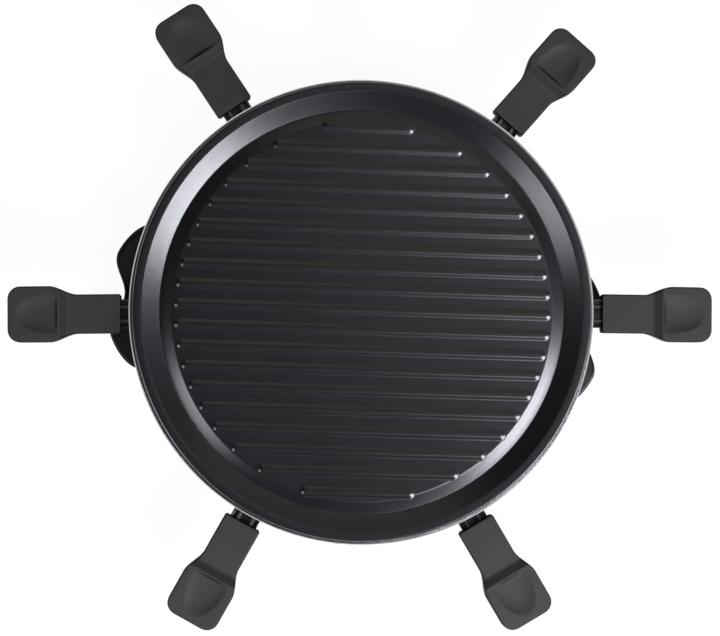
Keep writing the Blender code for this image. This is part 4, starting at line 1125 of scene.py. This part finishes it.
def facing_front(depth):
    """A matrix that turns a piece drawn about Z to face the front, at a depth from the grill's axis."""
    low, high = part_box("thermostat_knob")
    bearing = STAND_TURN + 270.0
    level = (low[2] + high[2]) / 2
    outwards = Matrix.Rotation(math.radians(90), 4, "Y")
    turn = Matrix.Rotation(math.radians(bearing), 4, "Z")
    return Matrix.Translation((*polar(depth, bearing), level)) @ turn @ outwards


def bar_mesh(length_, width, height, rounding=0.35):
    """A small bar along X from 0, standing on Z 0, with a narrowed top."""
    inset = min(width, height) * rounding
    loops = []
    for z, pull in ((0.0, 0.0), (height - inset, 0.0), (height, inset)):
        loops.append(
            [
                (pull, pull - width / 2, z),
                (length_ - pull, pull - width / 2, z),
                (length_ - pull, width / 2 - pull, z),
                (pull, width / 2 - pull, z),
            ]
        )
    return loft(loops)


class RACLETTE_OT_controls(bpy.types.Operator):
    """Make the control panel, knob, dial marks, pilot lamp and wiring"""

    bl_idname = "raclette.controls"
    bl_label = "Controls"

    def execute(self, context):
        make_finishes()
        trim = context.scene.raclette_trim
        softened("control_panel", trim.moulded_edge)
        softened("thermostat_knob", trim.moulded_edge, 3)
        softened("cord_inlet_bush", trim.moulded_edge, 3)
        paint("pilot_lamp", "thermostat", "thermostat_shaft", "mains_terminal_block", "earth_screw")
        paint("live_lead", "switched_lead", "neutral_lead", "earth_lead")
        arc = round_tree()
        ridges = to_object("knob_ridges", bar_mesh(0.0006, 0.0009, 0.0085), "black_plastic", 40)
        run_tree(
            ridges,
            arc,
            {
                "Count": trim.knob_ridges,
                "Radius": RIDGE_CIRCLE,
                "Step Angle": math.tau / trim.knob_ridges,
                "Material": LOOKS["black_plastic"],
            },
        )
        turn_mesh(ridges, facing_front(KNOB_BACK))
        settle(ridges, "dial", "black_plastic")
        sweep = math.radians(DIAL_SWEEP)
        marks = to_object("dial_marks", bar_mesh(MARK_LENGTH, 0.0006, 0.00012), "white_print", 40)
        run_tree(
            marks,
            arc,
            {
                "Count": trim.dial_marks,
                "Radius": trim.dial_radius - MARK_LENGTH,
                "Start Angle": math.pi - sweep / 2,
                "Step Angle": sweep / (trim.dial_marks - 1),
                "Material": LOOKS["white_print"],
            },
        )
        turn_mesh(marks, facing_front(PANEL_FACE))
        settle(marks, "grill", "black_plastic")
        pointer = to_object("knob_pointer", bar_mesh(0.0062, 0.0008, 0.00015), "white_print", 40)
        turn_mesh(pointer, facing_front(KNOB_FACE) @ Matrix.Translation((POINTER_START, 0, 0)))
        settle(pointer, "dial", "black_plastic")
        return {"FINISHED"}


# Stage


WHITE = (1.0, 1.0, 1.0, 1.0)
FLOOR_HALF = 4.0
FLOOR_WHITE, FLOOR_WHITE_SHARE = 1.16, 0.82
ROOM_DIFFUSE, ROOM_GLOSSY = 0.09, 0.035
LAMP_TARGET = Vector((0, 0, 0.10))
SENSOR_WIDTH, LENS = 36.0, 99.85
PICTURE_MIDDLE = Vector((-0.00227, -0.00481, 0.0))


class RACLETTE_OT_stage(bpy.types.Operator):
    """Set up the floor, lamps, world and camera"""

    bl_idname = "raclette.stage"
    bl_label = "Stage"

    def execute(self, context):
        scene = context.scene
        settings = scene.raclette_stage
        scene.view_settings.view_transform = "Standard"
        self.make_floor(scene)
        self.make_world(scene)
        cool, warm, plain = (0.91, 0.93, 1.0), (1.0, 0.98, 0.88), (1.0, 1.0, 1.0)
        # The first five lamps show only as reflections, and the last two give only diffuse light.
        mirrored = (
            self.make_lamp(scene, "key_lamp", settings.key_power, (1.20, 0.95), (2.2, 331, 34), cool),
            self.make_lamp(scene, "fill_lamp", settings.fill_power, (0.90, 0.85), (2.2, 209, 25), cool),
            self.make_lamp(scene, "upper_lamp", settings.upper_power, (1.0, 1.0), (2.2, 30, 69), cool),
            self.make_lamp(scene, "back_lamp", settings.back_power, (2.6, 1.1), (2.0, 75, 38), warm),
            self.make_lamp(scene, "rib_lamp", settings.rib_power, (0.40, 0.35), (1.2, 306, 50), cool),
        )
        for lamp in mirrored:
            lamp.visible_diffuse = False
        front = self.make_lamp(scene, "front_lamp", settings.front_power, (0.7, 0.7), (1.6, 290, 43), plain)
        self.let_through(front, ("grill_plate", "heater_ring"))
        top = self.make_lamp(scene, "top_lamp", settings.top_power, (0.9, 0.9), (2.2, 292, 84), plain)
        for lamp in (front, top):
            lamp.visible_glossy = False
        self.make_camera(scene, settings)
        return {"FINISHED"}

    def make_floor(self, scene):
        bm = bmesh.new()
        bmesh.ops.create_grid(bm, x_segments=1, y_segments=1, size=FLOOR_HALF)
        mesh = bpy.data.meshes.new("floor")
        bm.to_mesh(mesh)
        bm.free()
        floor = bpy.data.objects.new("floor", mesh)
        scene.collection.objects.link(floor)
        look = bpy.data.materials.new("floor_paper")
        look.use_nodes = True
        look.node_tree.nodes.clear()
        write = NodeWriter(look.node_tree)
        rays = write.add("ShaderNodeLightPath").outputs
        mirrored = write.compute("ADD", rays["Is Glossy Ray"], rays["Is Transmission Ray"])
        seen = write.compute("ADD", rays["Is Camera Ray"], mirrored, use_clamp=True)
        share = write.compute("MULTIPLY", seen, FLOOR_WHITE_SHARE)
        paper = write.add("ShaderNodeBsdfDiffuse", values={"Color": (0.55, 0.55, 0.55, 1.0)})
        bright = write.add("ShaderNodeEmission", values={"Color": WHITE, "Strength": FLOOR_WHITE})
        mixed = write.add("ShaderNodeMixShader", {0: share, 1: paper.outputs[0], 2: bright.outputs[0]})
        write.add("ShaderNodeOutputMaterial", {"Surface": mixed.outputs[0]})
        mesh.materials.append(look)

    def make_world(self, scene):
        world = bpy.data.worlds.new("studio")
        world.use_nodes = True
        world.node_tree.nodes.clear()
        write = NodeWriter(world.node_tree)
        rays = write.add("ShaderNodeLightPath").outputs
        level = write.compute("MULTIPLY_ADD", rays["Is Glossy Ray"], ROOM_GLOSSY - ROOM_DIFFUSE, ROOM_DIFFUSE)
        room = write.add("ShaderNodeBackground", {"Strength": level}, {"Color": (0.93, 0.95, 1.0, 1.0)})
        white = write.add("ShaderNodeBackground", values={"Color": WHITE, "Strength": 1.0})
        mixed = write.add(
            "ShaderNodeMixShader", {0: rays["Is Camera Ray"], 1: room.outputs[0], 2: white.outputs[0]}
        )
        write.add("ShaderNodeOutputWorld", {"Surface": mixed.outputs[0]})
        scene.world = world

    def make_lamp(self, scene, name, power, size, place, tint):
        """A rectangular lamp that faces the grill; its place is (distance, bearing, elevation)."""
        distance, bearing, elevation = place
        lamp = bpy.data.lights.new(name, "AREA")
        lamp.shape = "RECTANGLE"
        lamp.size, lamp.size_y = size
        lamp.energy = power
        lamp.color = tint
        made = bpy.data.objects.new(name, lamp)
        rise = math.radians(elevation)
        across = polar(distance * math.cos(rise), bearing)
        made.location = LAMP_TARGET + Vector((*across, distance * math.sin(rise)))
        aim = LAMP_TARGET - made.location
        made.rotation_euler = aim.to_track_quat("-Z", "Y").to_euler()
        scene.collection.objects.link(made)
        return made

    def let_through(self, lamp, names):
        """Keep the named pieces from shading what lies behind them from this lamp."""
        clear = bpy.data.collections.new(f"{lamp.name}_passes")
        for piece in list(bpy.data.objects):
            if piece.type == "MESH" and piece.name.startswith(names):
                clear.objects.link(piece)
        for entry in clear.collection_objects:
            entry.light_linking.link_state = "EXCLUDE"
        lamp.light_linking.blocker_collection = clear

    def make_camera(self, scene, settings):
        lens = bpy.data.cameras.new("camera")
        lens.sensor_width = SENSOR_WIDTH
        lens.sensor_fit = "HORIZONTAL"
        lens.lens = LENS
        lens.clip_end = 20.0
        camera = bpy.data.objects.new("camera", lens)
        target = Vector((0.0, 0.0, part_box("grill_plate")[1][2]))
        lean = Vector((-math.tan(settings.tilt_left), -math.tan(settings.tilt_front), 1.0)).normalized()
        camera.location = target + lean * settings.camera_distance
        aim = target + PICTURE_MIDDLE - camera.location
        back = -aim.normalized()
        right = Vector((0.0, 1.0, 0.0)).cross(back).normalized()
        up = back.cross(right)
        camera.rotation_euler = Matrix((right, up, back)).transposed().to_euler()
        scene.collection.objects.link(camera)
        scene.camera = camera


# Panel and registration


OPERATORS = (
    RACLETTE_OT_grill_plate,
    RACLETTE_OT_heater,
    RACLETTE_OT_base,
    RACLETTE_OT_grips,
    RACLETTE_OT_pans,
    RACLETTE_OT_handles,
    RACLETTE_OT_controls,
    RACLETTE_OT_stage,
)
GROUPS_OF_SETTINGS = (
    ("raclette_plate", RaclettePlateSizes),
    ("raclette_trim", RacletteTrimSizes),
    ("raclette_finishes", RacletteFinishes),
    ("raclette_stage", RacletteStageSettings),
)


class RACLETTE_PT_panel(bpy.types.Panel):
    """Lists the grill's pieces and settings"""

    bl_idname = "RACLETTE_PT_panel"
    bl_label = "Raclette grill"
    bl_space_type = "VIEW_3D"
    bl_region_type = "UI"
    bl_category = "Raclette"

    def draw(self, context):
        for operator in OPERATORS:
            self.layout.operator(operator.bl_idname)
        for name, group in GROUPS_OF_SETTINGS:
            box = self.layout.box()
            settings = getattr(context.scene, name)
            for field in group.__annotations__:
                box.prop(settings, field)


def register():
    for name, group in GROUPS_OF_SETTINGS:
        bpy.utils.register_class(group)
        setattr(bpy.types.Scene, name, PointerProperty(type=group))
    for operator in OPERATORS:
        bpy.utils.register_class(operator)
    bpy.utils.register_class(RACLETTE_PT_panel)


def unregister():
    bpy.utils.unregister_class(RACLETTE_PT_panel)
    for operator in reversed(OPERATORS):
        bpy.utils.unregister_class(operator)
    for name, group in reversed(GROUPS_OF_SETTINGS):
        delattr(bpy.types.Scene, name)
        bpy.utils.unregister_class(group)


def main():
    register()
    bpy.ops.raclette.grill_plate()
    bpy.ops.raclette.heater()
    bpy.ops.raclette.base()
    bpy.ops.raclette.grips()
    bpy.ops.raclette.pans()
    bpy.ops.raclette.handles()
    bpy.ops.raclette.controls()
    bpy.ops.raclette.stage()


if __name__ == "__main__":
    main()
